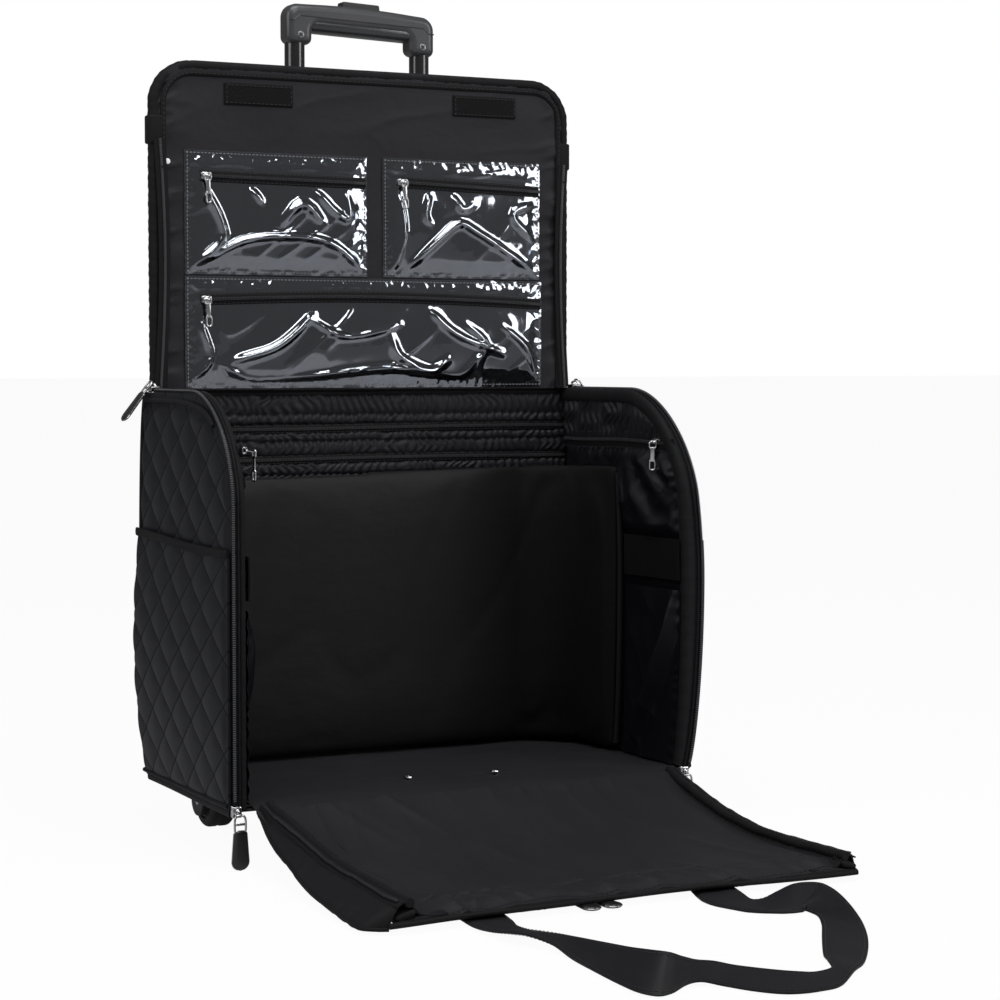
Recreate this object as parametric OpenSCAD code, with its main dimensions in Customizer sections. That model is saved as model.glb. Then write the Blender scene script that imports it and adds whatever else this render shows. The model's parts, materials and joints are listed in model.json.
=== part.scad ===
// Rolling sewing bag: quilted case on two wheels with a telescoping handle.
// The lid stands open and the front panel lies folded down on the floor.
// X runs across the bag, -Y is its front, +Z is up and the floor is at z = 0.

/* [Case] */
// Width of the case over its side walls
body_w = 442; // [400:1:500]
// Depth of the case from back to front
body_d = 222; // [210:1:260]
// Height of the case above its bottom
body_h = 352; // [330:1:400]
// Height of the case bottom above the floor
ground_gap = 48; // [46:1:60]
// Radius of the rounded corner between top and front
corner_r = 100; // [80:1:120]
// Thickness of a quilted side wall
wall_t = 8; // [5:0.5:12]
// Thickness of the back panel
back_t = 4; // [3:0.5:6]
// Thickness of the fabric bottom panel
bottom_t = 2; // [1:0.5:4]
// Thickness of the stiff lined base board
board_t = 4; // [2:0.5:6]
// Width of the padded rim along the side wall's edge
rim_w = 14; // [10:1:20]
// How far the padded rim stands into the case
rim_depth = 10; // [6:1:14]
// Width of a zip chain
chain_w = 5; // [4:0.5:8]
// Height of a zip chain above the cloth
chain_t = 2; // [1:0.5:3]
// Gap kept between soft pieces that lie together
soft_gap = 0.3; // [0.2:0.1:0.5]

/* [Outer side pockets] */
// Height of the pocket above the case bottom
pocket_h = 222; // [150:1:260]
// Thickness of the quilted pocket cloth
pocket_t = 2.5; // [1.5:0.5:5]
// Height of the elastic binding along the pocket's mouth
binding_h = 8; // [5:1:14]

/* [Lid] */
// Length of the lid from its hinge to its free edge
lid_len = 295; // [285:1:320]
// How far each side of the lid lies in from the case's side
lid_inset = 7; // [5:0.5:20]
// Thickness of the padded lid
lid_t = 10; // [6:0.5:12]
// Radius of the lid's free corners
lid_r = 40; // [20:1:60]
// Thickness of the clear pocket sheet with its seams
clear_t = 1.6; // [1:0.1:3]
// Thickness of a hook-and-loop patch
patch_t = 1.2; // [0.8:0.1:2]
// Width of a hook-and-loop patch
patch_w = 67; // [40:1:90]
// Height of a hook-and-loop patch
patch_h = 20; // [10:1:22]

/* [Front panel] */
// Length of the front panel from its hinge to its free edge
panel_len = 280; // [270:1:285]
// How far each side of the front panel lies in from the case's side
panel_inset = 11; // [7:0.5:25]
// Thickness of the front panel
panel_t = 8; // [5:0.5:10]
// Height of the panel's underside at its free edge, lying on the strap
panel_rest_z = 5; // [4.8:0.1:7]
// Distance of the outside zip pocket from the panel's free edge
front_pocket_end = 50; // [47:1:90]
// How far each side of that pocket lies in from the panel's side
front_pocket_inset = 20; // [10:1:40]
// Thickness of the zip pocket on the panel's outside
front_pocket_t = 2.5; // [1.5:0.1:3]

/* [Padded liner] */
// Height of the liner
liner_h = 268; // [200:1:280]
// Thickness of the liner's padding
liner_t = 12; // [8:1:16]
// Distance from the case's back to the liner's back face
liner_off = 10; // [8:1:20]
// Reach of the side wings from the case's back
liner_reach = 122; // [80:1:140]
// Inner radius of the bend into each wing
liner_r = 40; // [20:1:50]

/* [Inner side pockets] */
// Distance of the zip below the case top
side_zip_drop = 51; // [45:1:70]
// Thickness of the satin pocket
satin_t = 2.4; // [1.5:0.1:3]
// Height of the elastic strap's lower edge above the case bottom
strap_band_h = 172; // [150:1:200]
// Height of the elastic strap itself
strap_band_w = 48; // [30:1:60]
// Thickness of the elastic strap and of the slip pocket below it
strap_band_t = 1.6; // [1:0.1:2]
// Height of the lower slip pocket above the case bottom
slip_h = 168; // [100:1:170]

/* [Handle] */
// Distance between the two handle tubes
tube_pitch = 130; // [110:1:150]
// Diameter of the inner handle tube
tube_d = 19; // [16:0.5:20]
// Diameter of the middle handle tube
middle_d = 22; // [21:0.5:23]
// Diameter of the outer handle tube
outer_d = 25; // [24.5:0.5:27]
// Wall of each handle tube
tube_wall = 1.2; // [0.8:0.1:1.2]
// Distance of the tubes' axes behind the back panel
tube_out = 19; // [18:0.5:24]
// Height of the grip's legs above the case top as photographed
handle_out = 323; // [250:1:340]
// Length of an inner tube below the grip's legs
inner_len = 363; // [340:1:370]
// Width of the grip
grip_w = 162; // [145:1:180]
// Depth of the grip from front to back
grip_d = 26; // [22:1:30]
// Height of the grip from the legs' ends to its top
grip_h = 40; // [34:1:50]
// Width of each leg of the grip
leg_w = 30; // [24:1:34]
// Length of each leg below the grip's bar
leg_len = 9; // [5:1:20]
// Width of the push button
button_w = 40; // [30:1:50]
// Height that the button stands proud, and its travel plus one
button_proud = 5; // [3:0.5:6]

/* [Wheels and feet] */
// Diameter of a wheel
wheel_d = 50; // [44:1:50]
// Width of a tyre
tyre_w = 24; // [18:1:30]
// Distance between the wheels' middles
wheel_pitch = 336; // [300:1:350]
// Distance of the axle in front of the case's back
axle_in = 29; // [27:1:40]
// Diameter of an axle
axle_d = 8; // [6:0.5:10]
// Distance between the front feet
feet_pitch = 240; // [180:1:300]
// Diameter of a foot at the case
foot_d = 32; // [24:1:40]
// Diameter of a foot at the floor
foot_tip_d = 24; // [18:1:36]

/* [Carry strap] */
// Width of the webbing
strap_w = 38; // [30:1:45]
// Thickness of the doubled webbing
strap_t = 3; // [2:0.1:3]
// How far the strap lies out in front of the case
strap_reach = 563; // [540:1:600]

/* [Zip pulls] */
// Length of a main zip pull
pull_len = 42; // [30:1:44]
// Width of a main zip pull at its end
pull_w = 14; // [10:1:16]
// Thickness of a main zip pull
pull_t = 2.6; // [2:0.1:3]
// Length of a zip slider
slider_len = 14; // [10:1:18]
// Length of a small pocket pull
small_pull_len = 22; // [16:1:26]

/* [Hidden] */
$fn = 48;
eps = 0.01;
arc_fn = 96;
half_w = body_w / 2;
top_z = ground_gap + body_h;
inner_x = half_w - wall_t;
side_zip_z = top_z - side_zip_drop;
floor_z = ground_gap + bottom_t + board_t;
cover_t = 3;
ruched_t = 3;
tape_t = 2;
side_tape = 8;
back_tape = 7.4;

// Ruched bands and zip tapes take turns down the back, below the case top
back_bands = [26, 21];
back_band_drops = [6, 6 + back_bands[0] + back_tape + 2 * soft_gap];
back_tape_drops = [for (i = [0, 1]) back_band_drops[i] + back_bands[i] + soft_gap];
back_reach = tube_out + outer_d / 2 + soft_gap + cover_t;
front_reach = body_d + strap_reach;
origin_y = (front_reach - back_reach) / 2;

// The corner's centre, in the side view
corner_y = corner_r - body_d;
corner_z = top_z - corner_r;

// The lid's hinge and its two creases; the inner face is lid_in in front of the back
lid_w = body_w - 2 * lid_inset;
lid_lift = 0.6;
lid_back_gap = 2;
lid_in = lid_back_gap + lid_t;
lid_pivot_z = top_z + lid_lift;
panel_gap = 0.5;
lid_front = body_d + panel_gap + panel_t + 2 * patch_t + 0.5;
chamfer_sum = sqrt(2) * (corner_r + 2.5);
crease_top_y = -(body_d - corner_r) - (chamfer_sum - (corner_r + lid_lift));
crease_1 = -crease_top_y - lid_in;
chamfer_run = (lid_front + crease_top_y) * sqrt(2);
crease_2 = crease_1 + chamfer_run;
crease_gap = 0.1;

// The front panel's hinge and its slope down to the floor
panel_w = body_w - 2 * panel_inset;
front_pocket_w = panel_w - 2 * front_pocket_inset;
front_pocket_start = 25;
front_pocket_len = panel_len - front_pocket_start - front_pocket_end;
panel_pivot_y = -body_d - panel_gap - panel_t / 2;
panel_pivot_z = ground_gap + 0.5;
panel_slope = asin((panel_pivot_z - panel_rest_z - panel_t / 2) / panel_len);

// Clear pockets, measured along the lid from its hinge
low_pocket = [3, 100];
high_pocket = [106, 219];
pocket_x = [[-183, -2], [14, 182]];
low_pocket_x = [-183, 184];
low_zip_s = 82;
high_zip_s = 195;
zip_start = 15;
mini_slider = [8, 3, 6];
mini_pull = [5, 1.4];
side_zip_start = 22;
patch_x = [-144, 88];
patch_drop = 12;
patch_edge = 4;

// Handle heights
leg_z = top_z + handle_out;
grip_top = leg_z + grip_h;
bar_z = leg_z + leg_len;
tube_y = tube_out;
fit = 0.3;
middle_r = middle_d / 2;
outer_r = outer_d / 2;
tube_r = tube_d / 2;
bracket_t = 20;
bracket_z = ground_gap - bracket_t;
bracket_in = 30;
tube_margin = 5;
rod_seat = 20;
bezel_t = 8;
tube_seat = 16;
cavity_z = grip_top - 20;
rod_r = 2;

rivet_places = [[-34, -160], [50, -167]];

// Wheels
wheel_x = wheel_pitch / 2;
wheel_r = wheel_d / 2;
hub_r = wheel_r * 0.62;
cheek_t = 4;
cheek_x = tyre_w / 2 + 2;
housing_r = axle_in - 1;
run_fit = 0.05;

// Carry strap: posts from the left seam, round the loop and back to the right seam
strap_seam = 212;
strap_seam_z = panel_pivot_z - strap_seam * sin(panel_slope) - panel_t / 2 - front_pocket_t
  - strap_t - 1;
strap_low = 0.2;
seam_half = strap_w / 2;
strap_seam_x = 100;

// Blocks that the strap's route passes through, from seam to seam. Each has its least X, how
// far its front lies ahead of the case, its height, and its size
strap_lead = 283;
strap_posts = [
  [[-strap_seam_x - seam_half, strap_seam, strap_seam_z], [strap_w, 3, strap_t]],
  [[-121 - seam_half, strap_lead, strap_low], [strap_w, 3, strap_t]],
  [[-148, 328, strap_low], [22, 4, 12]],
  [[-150, 450, strap_low], [20, 8, 24]],
  [[-136, 528, strap_low], [12, 10, 32]],
  [[-82, 546, strap_low], [14, 24, 20]],
  [[-12, strap_reach, strap_low], [8, 26, 16]],
  [[28, 508, strap_low], [30, 14, 6]],
  [[104, 380, strap_low], [32, 12, 10]],
  [[84, 366, strap_low], [22, 20, 24]],
  [[81 - seam_half, strap_lead, strap_low], [strap_w, 3, strap_t]],
  [[strap_seam_x - seam_half, strap_seam, strap_seam_z], [strap_w, 3, strap_t]]];

// Zip sliders and their pulls; the paired ones lie under the front panel
front_pull_x = [-39, -25];
front_pull_w = 11;
front_pull_t = 1.6;
front_pull_y = -panel_len + 35;
front_pull_z = -panel_t / 2 - front_pull_t / 2 - 0.2;
chain_x = half_w - chain_w / 2;
top_park = -back_t - 2 - slider_len / 2 - 1;
front_park = ground_gap + slider_len / 2 - 2;
front_post = 1 - slider_len / 2;
pull_eye = chain_t + 2.4 + 3;
top_pull_lean = 38;

module placed() {
  translate([0, origin_y, 0])
    children();
}

module mirrored_x() {
  children();
  mirror([1, 0, 0])
    children();
}

// Extrudes a side view drawn in Y and Z from x0 to x1
module along_x(x0, x1) {
  translate([x0, 0, 0])
    rotate([90, 0, 90])
      linear_extrude(x1 - x0)
        children();
}

// Side view of the case, drawn in by inset at its top, front and bottom
module side_outline(inset = 0) {
  translate([corner_y, corner_z])
    circle(corner_r - inset, $fn = arc_fn);
  translate([-body_d + inset, ground_gap + inset])
    square([body_d - inset, body_h - corner_r - inset]);
  translate([corner_y, ground_gap + inset])
    square([-corner_y, body_h - 2 * inset]);
}

// Band along the top, corner and front of the side view, without the bottom
module edge_band(outer, inner, back_y) {
  difference() {
    side_outline(-outer);
    side_outline(inner);
    translate([-body_d + inner, 0])
      square([2 * body_d, corner_z]);
    translate([-2 * body_d, 0])
      square([4 * body_d, ground_gap + eps]);
    translate([back_y, 0])
      square([body_d, 2 * top_z]);
  }
}

module tube(r, wall, z0, z1) {
  translate([0, 0, z0])
    difference() {
      cylinder(h = z1 - z0, r = r);
      translate([0, 0, -1])
        cylinder(h = z1 - z0 + 2, r = r - wall);
    }
}

module both_tubes() {
  for (side = [-1, 1])
    translate([side * tube_pitch / 2, tube_y, 0])
      children();
}

// Lid outline from s0 to s1 along its length, margin in from its edges
module lid_outline(s0, s1, margin = 0) {
  half = lid_w / 2 - margin;
  r = lid_r - margin;
  end = lid_len - margin;
  intersection() {
    union() {
      translate([-half, 0])
        square([2 * half, end - r]);
      translate([-half + r, 0])
        square([2 * (half - r), end]);
      for (side = [-1, 1])
        translate([side * (half - r), end - r])
          circle(r, $fn = arc_fn);
    }
    translate([-half, s0])
      square([2 * half, s1 - s0]);
  }
}

// Extrudes a drawing in X and s forwards from the lid's inner face
module on_lid(depth, off = 0) {
  translate([0, -lid_in - off, lid_pivot_z])
    rotate([90, 0, 0])
      linear_extrude(depth)
        children();
}

// Lid cloth between two creases
module lid_part(s0, s1) {
  on_lid(lid_t, -lid_t)
    lid_outline(s0, s1);
}

// Moves into the front panel's own plane: X across, -Y towards the free edge
module in_panel() {
  translate([0, panel_pivot_y, panel_pivot_z])
    rotate([panel_slope, 0, 0])
      children();
}

module bottom_panel() placed() color("#1a1a1d") {
  difference() {
    translate([-half_w, -body_d, ground_gap])
      cube([body_w, body_d, bottom_t]);
    wheel_wells();
  }
}

// Cut-outs that let the wheel housings through the bottom
module wheel_wells() {
  for (side = [-1, 1])
    translate([side * wheel_x - cheek_x - cheek_t - soft_gap, -axle_in - housing_r - soft_gap,
      ground_gap - 1])
      cube([2 * (cheek_x + cheek_t + soft_gap), axle_in + housing_r - back_t, bottom_t + 4]);
}

module base_board() placed() color("#151517") {
  z0 = ground_gap + bottom_t;
  difference() {
    translate([-inner_x + soft_gap, -body_d + 1, z0])
      cube([2 * (inner_x - soft_gap), body_d - 1 - back_t - soft_gap, board_t]);
    wheel_wells();
  }
}

module floor_rivets() placed() color("silver") {
  for (place = rivet_places)
    translate([place[0], place[1], floor_z])
      rotate_extrude()
        polygon([[0, 0], [4.5, 0], [4, 1], [2.5, 1.8], [0, 2]]);
}

module back_panel() placed() color("#17171a") {
  translate([-half_w, -back_t, ground_gap + bottom_t])
    cube([body_w, back_t, body_h - bottom_t]);
}

module ruched_bands() placed() color("#26242b") {
  for (i = [0, 1])
    translate([-inner_x + soft_gap, -back_t - soft_gap - ruched_t,
      top_z - back_band_drops[i] - back_bands[i]])
      cube([2 * (inner_x - soft_gap), ruched_t, back_bands[i]]);
}

module side_wall(side) {
  x0 = side > 0 ? inner_x : -half_w;
  difference() {
    along_x(x0, x0 + wall_t)
      side_outline();
    translate([x0 - 1, -back_t - eps, 0])
      cube([wall_t + 2, body_d, 2 * top_z]);
    translate([x0 - 1, -2 * body_d, 0])
      cube([wall_t + 2, 4 * body_d, ground_gap + bottom_t]);
  }
}

module side_wall_left() placed() color("#1c1c22") side_wall(-1);

module side_wall_right() placed() color("#1c1c22") side_wall(1);

module rims() placed() color("#121214") {
  x1 = inner_x - soft_gap;
  mirrored_x()
    difference() {
      along_x(x1 - rim_depth, x1)
        edge_band(0, rim_w, -back_t - ruched_t - 2 * soft_gap);
      translate([0, -2 * body_d, 0])
        cube([body_w, 2 * body_d, floor_z + soft_gap]);
    }
}

module case_zip_chains() placed() color("#202022") {
  mirrored_x()
    along_x(half_w - chain_w, half_w)
      edge_band(chain_t, 0, -back_t - 2);
}

module outer_pockets() placed() color("#1c1c22") {
  z1 = ground_gap + pocket_h - binding_h;
  mirrored_x()
    translate([half_w + soft_gap, -body_d + 6, ground_gap + bottom_t])
      cube([pocket_t, body_d - 12, z1 - ground_gap - bottom_t]);
}

module pocket_bindings() placed() color("#0f0f10") {
  mirrored_x()
    translate([half_w + soft_gap, -body_d + 4, ground_gap + pocket_h - binding_h])
      cube([pocket_t + 1, body_d - 8, binding_h]);
}

// Side view inside the rim, from z0 up to z1
module inside_rim(z0, z1) {
  y1 = -back_t - ruched_t - 2 * soft_gap;
  intersection() {
    side_outline(rim_w + soft_gap);
    translate([-body_d, z0])
      square([body_d + y1, z1 - z0]);
  }
}

module inner_zip_pockets() placed() color("#26242b") {
  x1 = inner_x - soft_gap;
  mirrored_x()
    along_x(x1 - satin_t, x1)
      inside_rim(floor_z + soft_gap, side_zip_z - side_tape / 2);
}

// Zip tapes of both side pockets and, two of them, across the back
module zip_tapes() placed() color("#101012") {
  x1 = inner_x - soft_gap;
  for (drop = back_tape_drops)
    translate([-x1, -back_t - soft_gap - tape_t, top_z - drop - back_tape])
      cube([2 * x1, tape_t, back_tape]);
  mirrored_x()
    along_x(x1 - tape_t, x1)
      inside_rim(side_zip_z - side_tape / 2, side_zip_z + side_tape / 2);
}

module side_band(z0, height) {
  x1 = inner_x - 2 * soft_gap - satin_t;
  mirrored_x()
    translate([x1 - strap_band_t, -body_d + rim_w + soft_gap, z0])
      cube([strap_band_t, body_d - rim_w - liner_reach - 4, height]);
}

module elastic_straps() placed() color("#131315")
  side_band(ground_gap + strap_band_h, strap_band_w);

module inner_slip_pockets() placed() color("#26242b")
  side_band(floor_z + soft_gap, ground_gap + slip_h - floor_z - soft_gap);

// The liner stands on the base board, along the back and round onto both sides
module padded_liner() placed() color("#17161a") {
  x1 = inner_x - 2 * soft_gap - satin_t - 2;
  x0 = x1 - liner_t;
  y1 = -liner_off;
  r = liner_r + liner_t;
  translate([0, 0, floor_z + soft_gap])
    linear_extrude(liner_h) {
      translate([-x1 + r, y1 - liner_t])
        square([2 * (x1 - r), liner_t]);
      for (side = [-1, 1]) {
        translate([side > 0 ? x0 : -x1, -liner_reach])
          square([liner_t, liner_reach + y1 - r]);
        intersection() {
          translate([side * (x1 - r), y1 - r])
            difference() {
              circle(r, $fn = arc_fn);
              circle(liner_r, $fn = arc_fn);
            }
          translate([side > 0 ? x1 - r : -x1, y1 - r])
            square([r, r]);
        }
      }
    }
}

module outer_tubes() placed() color("#2b2b2e") {
  both_tubes()
    tube(outer_r, tube_wall, bracket_z + 2, top_z - bezel_t / 2);
}

module tube_bracket() placed() color("#141415") {
  half = tube_pitch / 2 + outer_r + tube_margin;
  difference() {
    translate([-half, -bracket_in, bracket_z])
      cube([2 * half, bracket_in + back_reach - cover_t, ground_gap - bracket_z]);
    both_tubes()
      translate([0, 0, bracket_z + 2])
        cylinder(h = 40, r = outer_r);
  }
}

module handle_bezel() placed() color("#141415") {
  half = tube_pitch / 2 + outer_r + tube_margin;
  difference() {
    translate([-half, soft_gap, top_z - bezel_t / 2])
      cube([2 * half, back_reach - cover_t - soft_gap, bezel_t]);
    both_tubes()
      translate([0, 0, top_z - bezel_t])
        cylinder(h = 3 * bezel_t, r = middle_r + fit);
  }
}

// Quilted sleeve over the tubes, open at its bottom end over the bracket
module back_cover() placed() color("#1c1c22") {
  half = tube_pitch / 2 + outer_r + tube_margin + soft_gap;
  difference() {
    translate([-half - cover_t, soft_gap, ground_gap + 1])
      cube([2 * (half + cover_t), back_reach - soft_gap, body_h - 1]);
    translate([-half, -1, 0])
      cube([2 * half, back_reach - cover_t + 1 + soft_gap / 2, 2 * top_z]);
  }
}

module wheel_housings() placed() color("#141415") {
  out = cheek_x + cheek_t;
  roof_z = ground_gap + bottom_t + board_t - 2;
  for (side = [-1, 1])
    translate([side * wheel_x, -axle_in, 0])
      difference() {
        union() {
          translate([-out, -housing_r, wheel_r])
            cube([2 * out, housing_r + axle_in - back_t - 1, roof_z - wheel_r]);
          rotate([0, 90, 0])
            translate([-wheel_r, 0, -out])
              cylinder(h = 2 * out, r = 14);
        }
        translate([-cheek_x, -housing_r - 1, -1])
          cube([2 * cheek_x, 3 * housing_r, wheel_d + 2]);
        translate([-out - 1, 0, wheel_r])
          rotate([0, 90, 0])
            cylinder(h = 2 * out + 2, r = axle_d / 2);
      }
}

module wheel_axles() placed() color("silver") {
  out = cheek_x + cheek_t;
  for (side = [-1, 1])
    translate([side * wheel_x - out, -axle_in, wheel_r])
      rotate([0, 90, 0])
        cylinder(h = 2 * out, r = axle_d / 2);
}

module front_feet() placed() color("#101011") {
  for (side = [-1, 1])
    translate([side * feet_pitch / 2, -body_d + 34, 0])
      rotate_extrude()
        polygon([[0, 0], [foot_tip_d / 2, 0], [foot_d / 2, 20], [foot_d / 2, ground_gap],
          [0, ground_gap]]);
}

module middle_tubes() placed() color("#1b1b1d") {
  both_tubes()
    tube(middle_r, tube_wall, bracket_z + 6, top_z + bezel_t / 2 + 1);
}

module inner_tubes() placed() color("#1b1b1d") {
  both_tubes()
    tube(tube_r, tube_wall, leg_z - inner_len, leg_z + tube_seat);
}

// Front view of the grip: an arched bar between two legs
module grip_outline() {
  half = grip_w / 2;
  r = 16;
  gap = tube_pitch / 2 - leg_w / 2;
  difference() {
    union() {
      translate([-half, leg_z])
        square([grip_w, grip_h - r]);
      translate([-half + r, leg_z])
        square([grip_w - 2 * r, grip_h]);
      for (side = [-1, 1])
        translate([side * (half - r), grip_top - r])
          circle(r);
    }
    translate([-gap, leg_z - 1])
      square([2 * gap, leg_len + 6 + 1]);
  }
}

module grip_shell() placed() color("#2a2b2e") {
  difference() {
    translate([0, tube_y + grip_d / 2, 0])
      rotate([90, 0, 0])
        linear_extrude(grip_d)
          grip_outline();
    both_tubes() {
      translate([0, 0, leg_z - 1])
        cylinder(h = tube_seat + 1, r = tube_r);
      translate([0, 0, leg_z])
        cylinder(h = cavity_z - leg_z + 1, r = rod_r + 1);
    }
    translate([-tube_pitch / 2 - 4, tube_y - 4, cavity_z])
      cube([tube_pitch + 8, 8, 12]);
    translate([-button_w / 2 - fit, tube_y - 7 - fit, grip_top - 9])
      cube([button_w + 2 * fit, 14 + 2 * fit, 10]);
    grip_screw_holes();
  }
}

module grip_screw_holes() {
  for (side = [-1, 1])
    translate([side * (tube_pitch / 2), tube_y - grip_d / 2 - 1, leg_z + 11])
      rotate([-90, 0, 0])
        cylinder(h = 3, r = 3.5);
}

// Soft pad under the bar, where the fingers close
module under_grip() placed() color("#1b1b1c") {
  gap = tube_pitch / 2 - leg_w / 2;
  translate([0, tube_y + grip_d / 2 - 2, 0])
    rotate([90, 0, 0])
      linear_extrude(grip_d - 4)
        polygon([[-gap + fit, leg_z + leg_len + 6], [gap - fit, leg_z + leg_len + 6],
          [gap - 12, bar_z], [-gap + 12, bar_z]]);
}

module grip_screws() placed() color("silver") {
  for (side = [-1, 1])
    translate([side * (tube_pitch / 2), tube_y - grip_d / 2 + 0.4, leg_z + 11])
      rotate([-90, 0, 0])
        difference() {
          cylinder(h = 1.6, r = 3.5);
          for (turn = [0, 90])
            rotate([0, 0, turn])
              translate([-2.2, -0.4, -1])
                cube([4.4, 0.8, 1.8]);
        }
}

module grip_button() placed() color("#222225") {
  translate([-button_w / 2, tube_y - 7, grip_top + button_proud - 8])
    cube([button_w, 14, 8]);
  translate([-12, tube_y - 3, cavity_z + 10])
    cube([24, 6, grip_top + button_proud - 8 - cavity_z - 10]);
}

module push_rods() placed() color("silver") {
  translate([-tube_pitch / 2 - 2, tube_y - 2.5, cavity_z + 6])
    cube([tube_pitch + 4, 5, 4]);
  both_tubes()
    translate([0, 0, leg_z - inner_len + rod_seat])
      cylinder(h = cavity_z + 7 - leg_z + inner_len - rod_seat, r = rod_r);
}

module button_spring() placed() color("silver") {
  translate([0, tube_y, 0])
    tube(3.5, 1, cavity_z, cavity_z + 6);
}

module tyre(side) {
  translate([side * wheel_x, -axle_in, wheel_r])
    rotate([0, 90, 0])
      rotate_extrude($fn = 64)
        polygon([[hub_r, -tyre_w / 2], [wheel_r - 2, -tyre_w / 2], [wheel_r, -tyre_w / 2 + 3],
          [wheel_r, tyre_w / 2 - 3], [wheel_r - 2, tyre_w / 2], [hub_r, tyre_w / 2]]);
}

module hub(side) {
  translate([side * wheel_x - tyre_w / 2 - 1, -axle_in, wheel_r])
    rotate([0, 90, 0])
      difference() {
        union() {
          translate([0, 0, 1])
            cylinder(h = tyre_w, r = hub_r);
          cylinder(h = tyre_w + 2, r = axle_d);
        }
        translate([0, 0, -1])
          cylinder(h = tyre_w + 4, r = axle_d / 2 + run_fit);
      }
}

module tyre_left() placed() color("#161616") tyre(-1);

module hub_left() placed() color("#2d2d2f") hub(-1);

module tyre_right() placed() color("#161616") tyre(1);

module hub_right() placed() color("#2d2d2f") hub(1);

module lid_panel() placed() color("#25222b")
  lid_part(0, crease_1);

// A clear sheet with its zip, drawn on the lid's inner face
module clear_sheet(x, s) {
  on_lid(clear_t)
    translate([x[0], s[0]])
      square([x[1] - x[0], s[1] - s[0]]);
}

module lower_clear_pocket() placed() color([0.8, 0.85, 0.9, 0.4])
  clear_sheet(low_pocket_x, low_pocket);

module upper_pockets_rear() placed() color([0.8, 0.85, 0.9, 0.4]) {
  for (x = pocket_x)
    clear_sheet(x, [high_pocket[0], crease_1 - 1.5]);
}

// The middle panel of the lid, a little clear of its neighbours at both creases
module bend_panel() placed() color("#25222b") {
  lid_part(crease_1 + crease_gap, crease_2 - crease_gap);
}

module upper_clear_pockets() placed() color([0.8, 0.85, 0.9, 0.4]) {
  for (x = pocket_x)
    clear_sheet(x, [crease_1 + 1.5, high_pocket[1]]);
}

module lid_flap() placed() color("#25222b") {
  lid_part(crease_2, lid_len);
}

module hook_patches() placed() color("#0c0c0d") {
  for (x = patch_x)
    on_lid(patch_t)
      translate([x, crease_2 + patch_drop])
        square([patch_w, patch_h]);
}

module front_panel() placed() color("#1d1b20") {
  in_panel() {
    translate([-panel_w / 2, -panel_len, -panel_t / 2])
      cube([panel_w, panel_len, panel_t]);
    translate([-panel_w / 2, 0, 0])
      rotate([0, 90, 0])
        cylinder(h = panel_w, r = panel_t / 2);
  }
}

module front_pocket() placed() color("#1c1c22") {
  in_panel()
    translate([-front_pocket_w / 2, -front_pocket_start - front_pocket_len, -panel_t / 2 - front_pocket_t])
      cube([front_pocket_w, front_pocket_len, front_pocket_t]);
}

// Patches that meet the lid's own when the bag is closed
module loop_patches() placed() color("#0c0c0d") {
  for (x = patch_x)
    in_panel()
      translate([x, -panel_len + patch_edge, -panel_t / 2 - patch_t])
        cube([patch_w, patch_h - 6, patch_t]);
}

// A zip pull seen from its face: an eye, a neck and a tapering frame
module pull_face(length, width) {
  difference() {
    union() {
      circle(width * 0.3, $fn = 32);
      polygon([[-width * 0.2, -width * 0.18], [width * 0.2, -width * 0.18],
        [width * 0.3, -length * 0.3], [width / 2, -length + 5], [width / 2 - 2, -length],
        [2 - width / 2, -length], [-width / 2, -length + 5], [-width * 0.3, -length * 0.3]]);
    }
    circle(width * 0.14, $fn = 32);
  }
}

module pull(length, width, thickness) {
  translate([0, 0, -thickness / 2])
    linear_extrude(thickness)
      pull_face(length, width);
}

// The paired pulls of the front pocket lie under the panel's free edge
module front_zip_pulls() placed() color("silver") {
  in_panel()
    for (x = front_pull_x)
      translate([x, front_pull_y, front_pull_z])
        pull(pull_len, front_pull_w, front_pull_t);
}

module carry_strap() placed() color("#19191b") {
  for (i = [0:len(strap_posts) - 2])
    hull()
      for (post = [strap_posts[i], strap_posts[i + 1]])
        translate([post[0][0], -body_d - post[0][1], post[0][2]])
          cube(post[1]);
}

// A saddle slider over a chain that runs along its own Y axis, standing on z = 0
module slider(post_y = 0) {
  w = chain_w + 2.6;
  difference() {
    translate([-w / 2 - 0.1, -slider_len / 2, -5])
      cube([w + 1.6, slider_len, chain_t + 7.4]);
    translate([-chain_w / 2 - 0.3, -slider_len, -6])
      cube([chain_w + 0.6, 2 * slider_len, chain_t + 6.4]);
    translate([-2 * w, -slider_len, -6])
      cube([2 * w, 2 * slider_len, 6.3]);
  }
  translate([-1.5, post_y - 1, chain_t + 2.4 - eps])
    cube([3, 2, 3]);
}

module top_slider(side) {
  translate([side * chain_x, top_park, top_z])
    mirror([side > 0 ? 0 : 1, 0, 0])
      slider();
}

// The front sliders ride the chain's upright run
module front_slider(side) {
  translate([side * chain_x, -body_d, front_park])
    rotate([90, 0, 0])
      mirror([side > 0 ? 0 : 1, 0, 0])
        slider(front_post);
}

module top_slider_left() placed() color("silver") top_slider(-1);

module top_slider_right() placed() color("silver") top_slider(1);

module front_slider_left() placed() color("silver") front_slider(-1);

module front_slider_right() placed() color("silver") front_slider(1);

// Pulls hang from the eye on each slider's back
module top_pull(side) {
  translate([side * (half_w + 3), top_park, top_z + pull_eye - 1])
    rotate([0, -side * top_pull_lean, 0])
      rotate([90, 0, 90])
        pull(pull_len, pull_w, pull_t);
}

module top_pull_left() placed() color("silver") top_pull(-1);

module top_pull_right() placed() color("silver") top_pull(1);

module front_pull(side) {
  translate([side * chain_x, -body_d - pull_eye - pull_t / 2 - soft_gap, front_park + front_post])
    rotate([90, 0, 0])
      pull(pull_len, pull_w, pull_t);
}

module front_pull_left() placed() color("silver") front_pull(-1);

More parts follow.
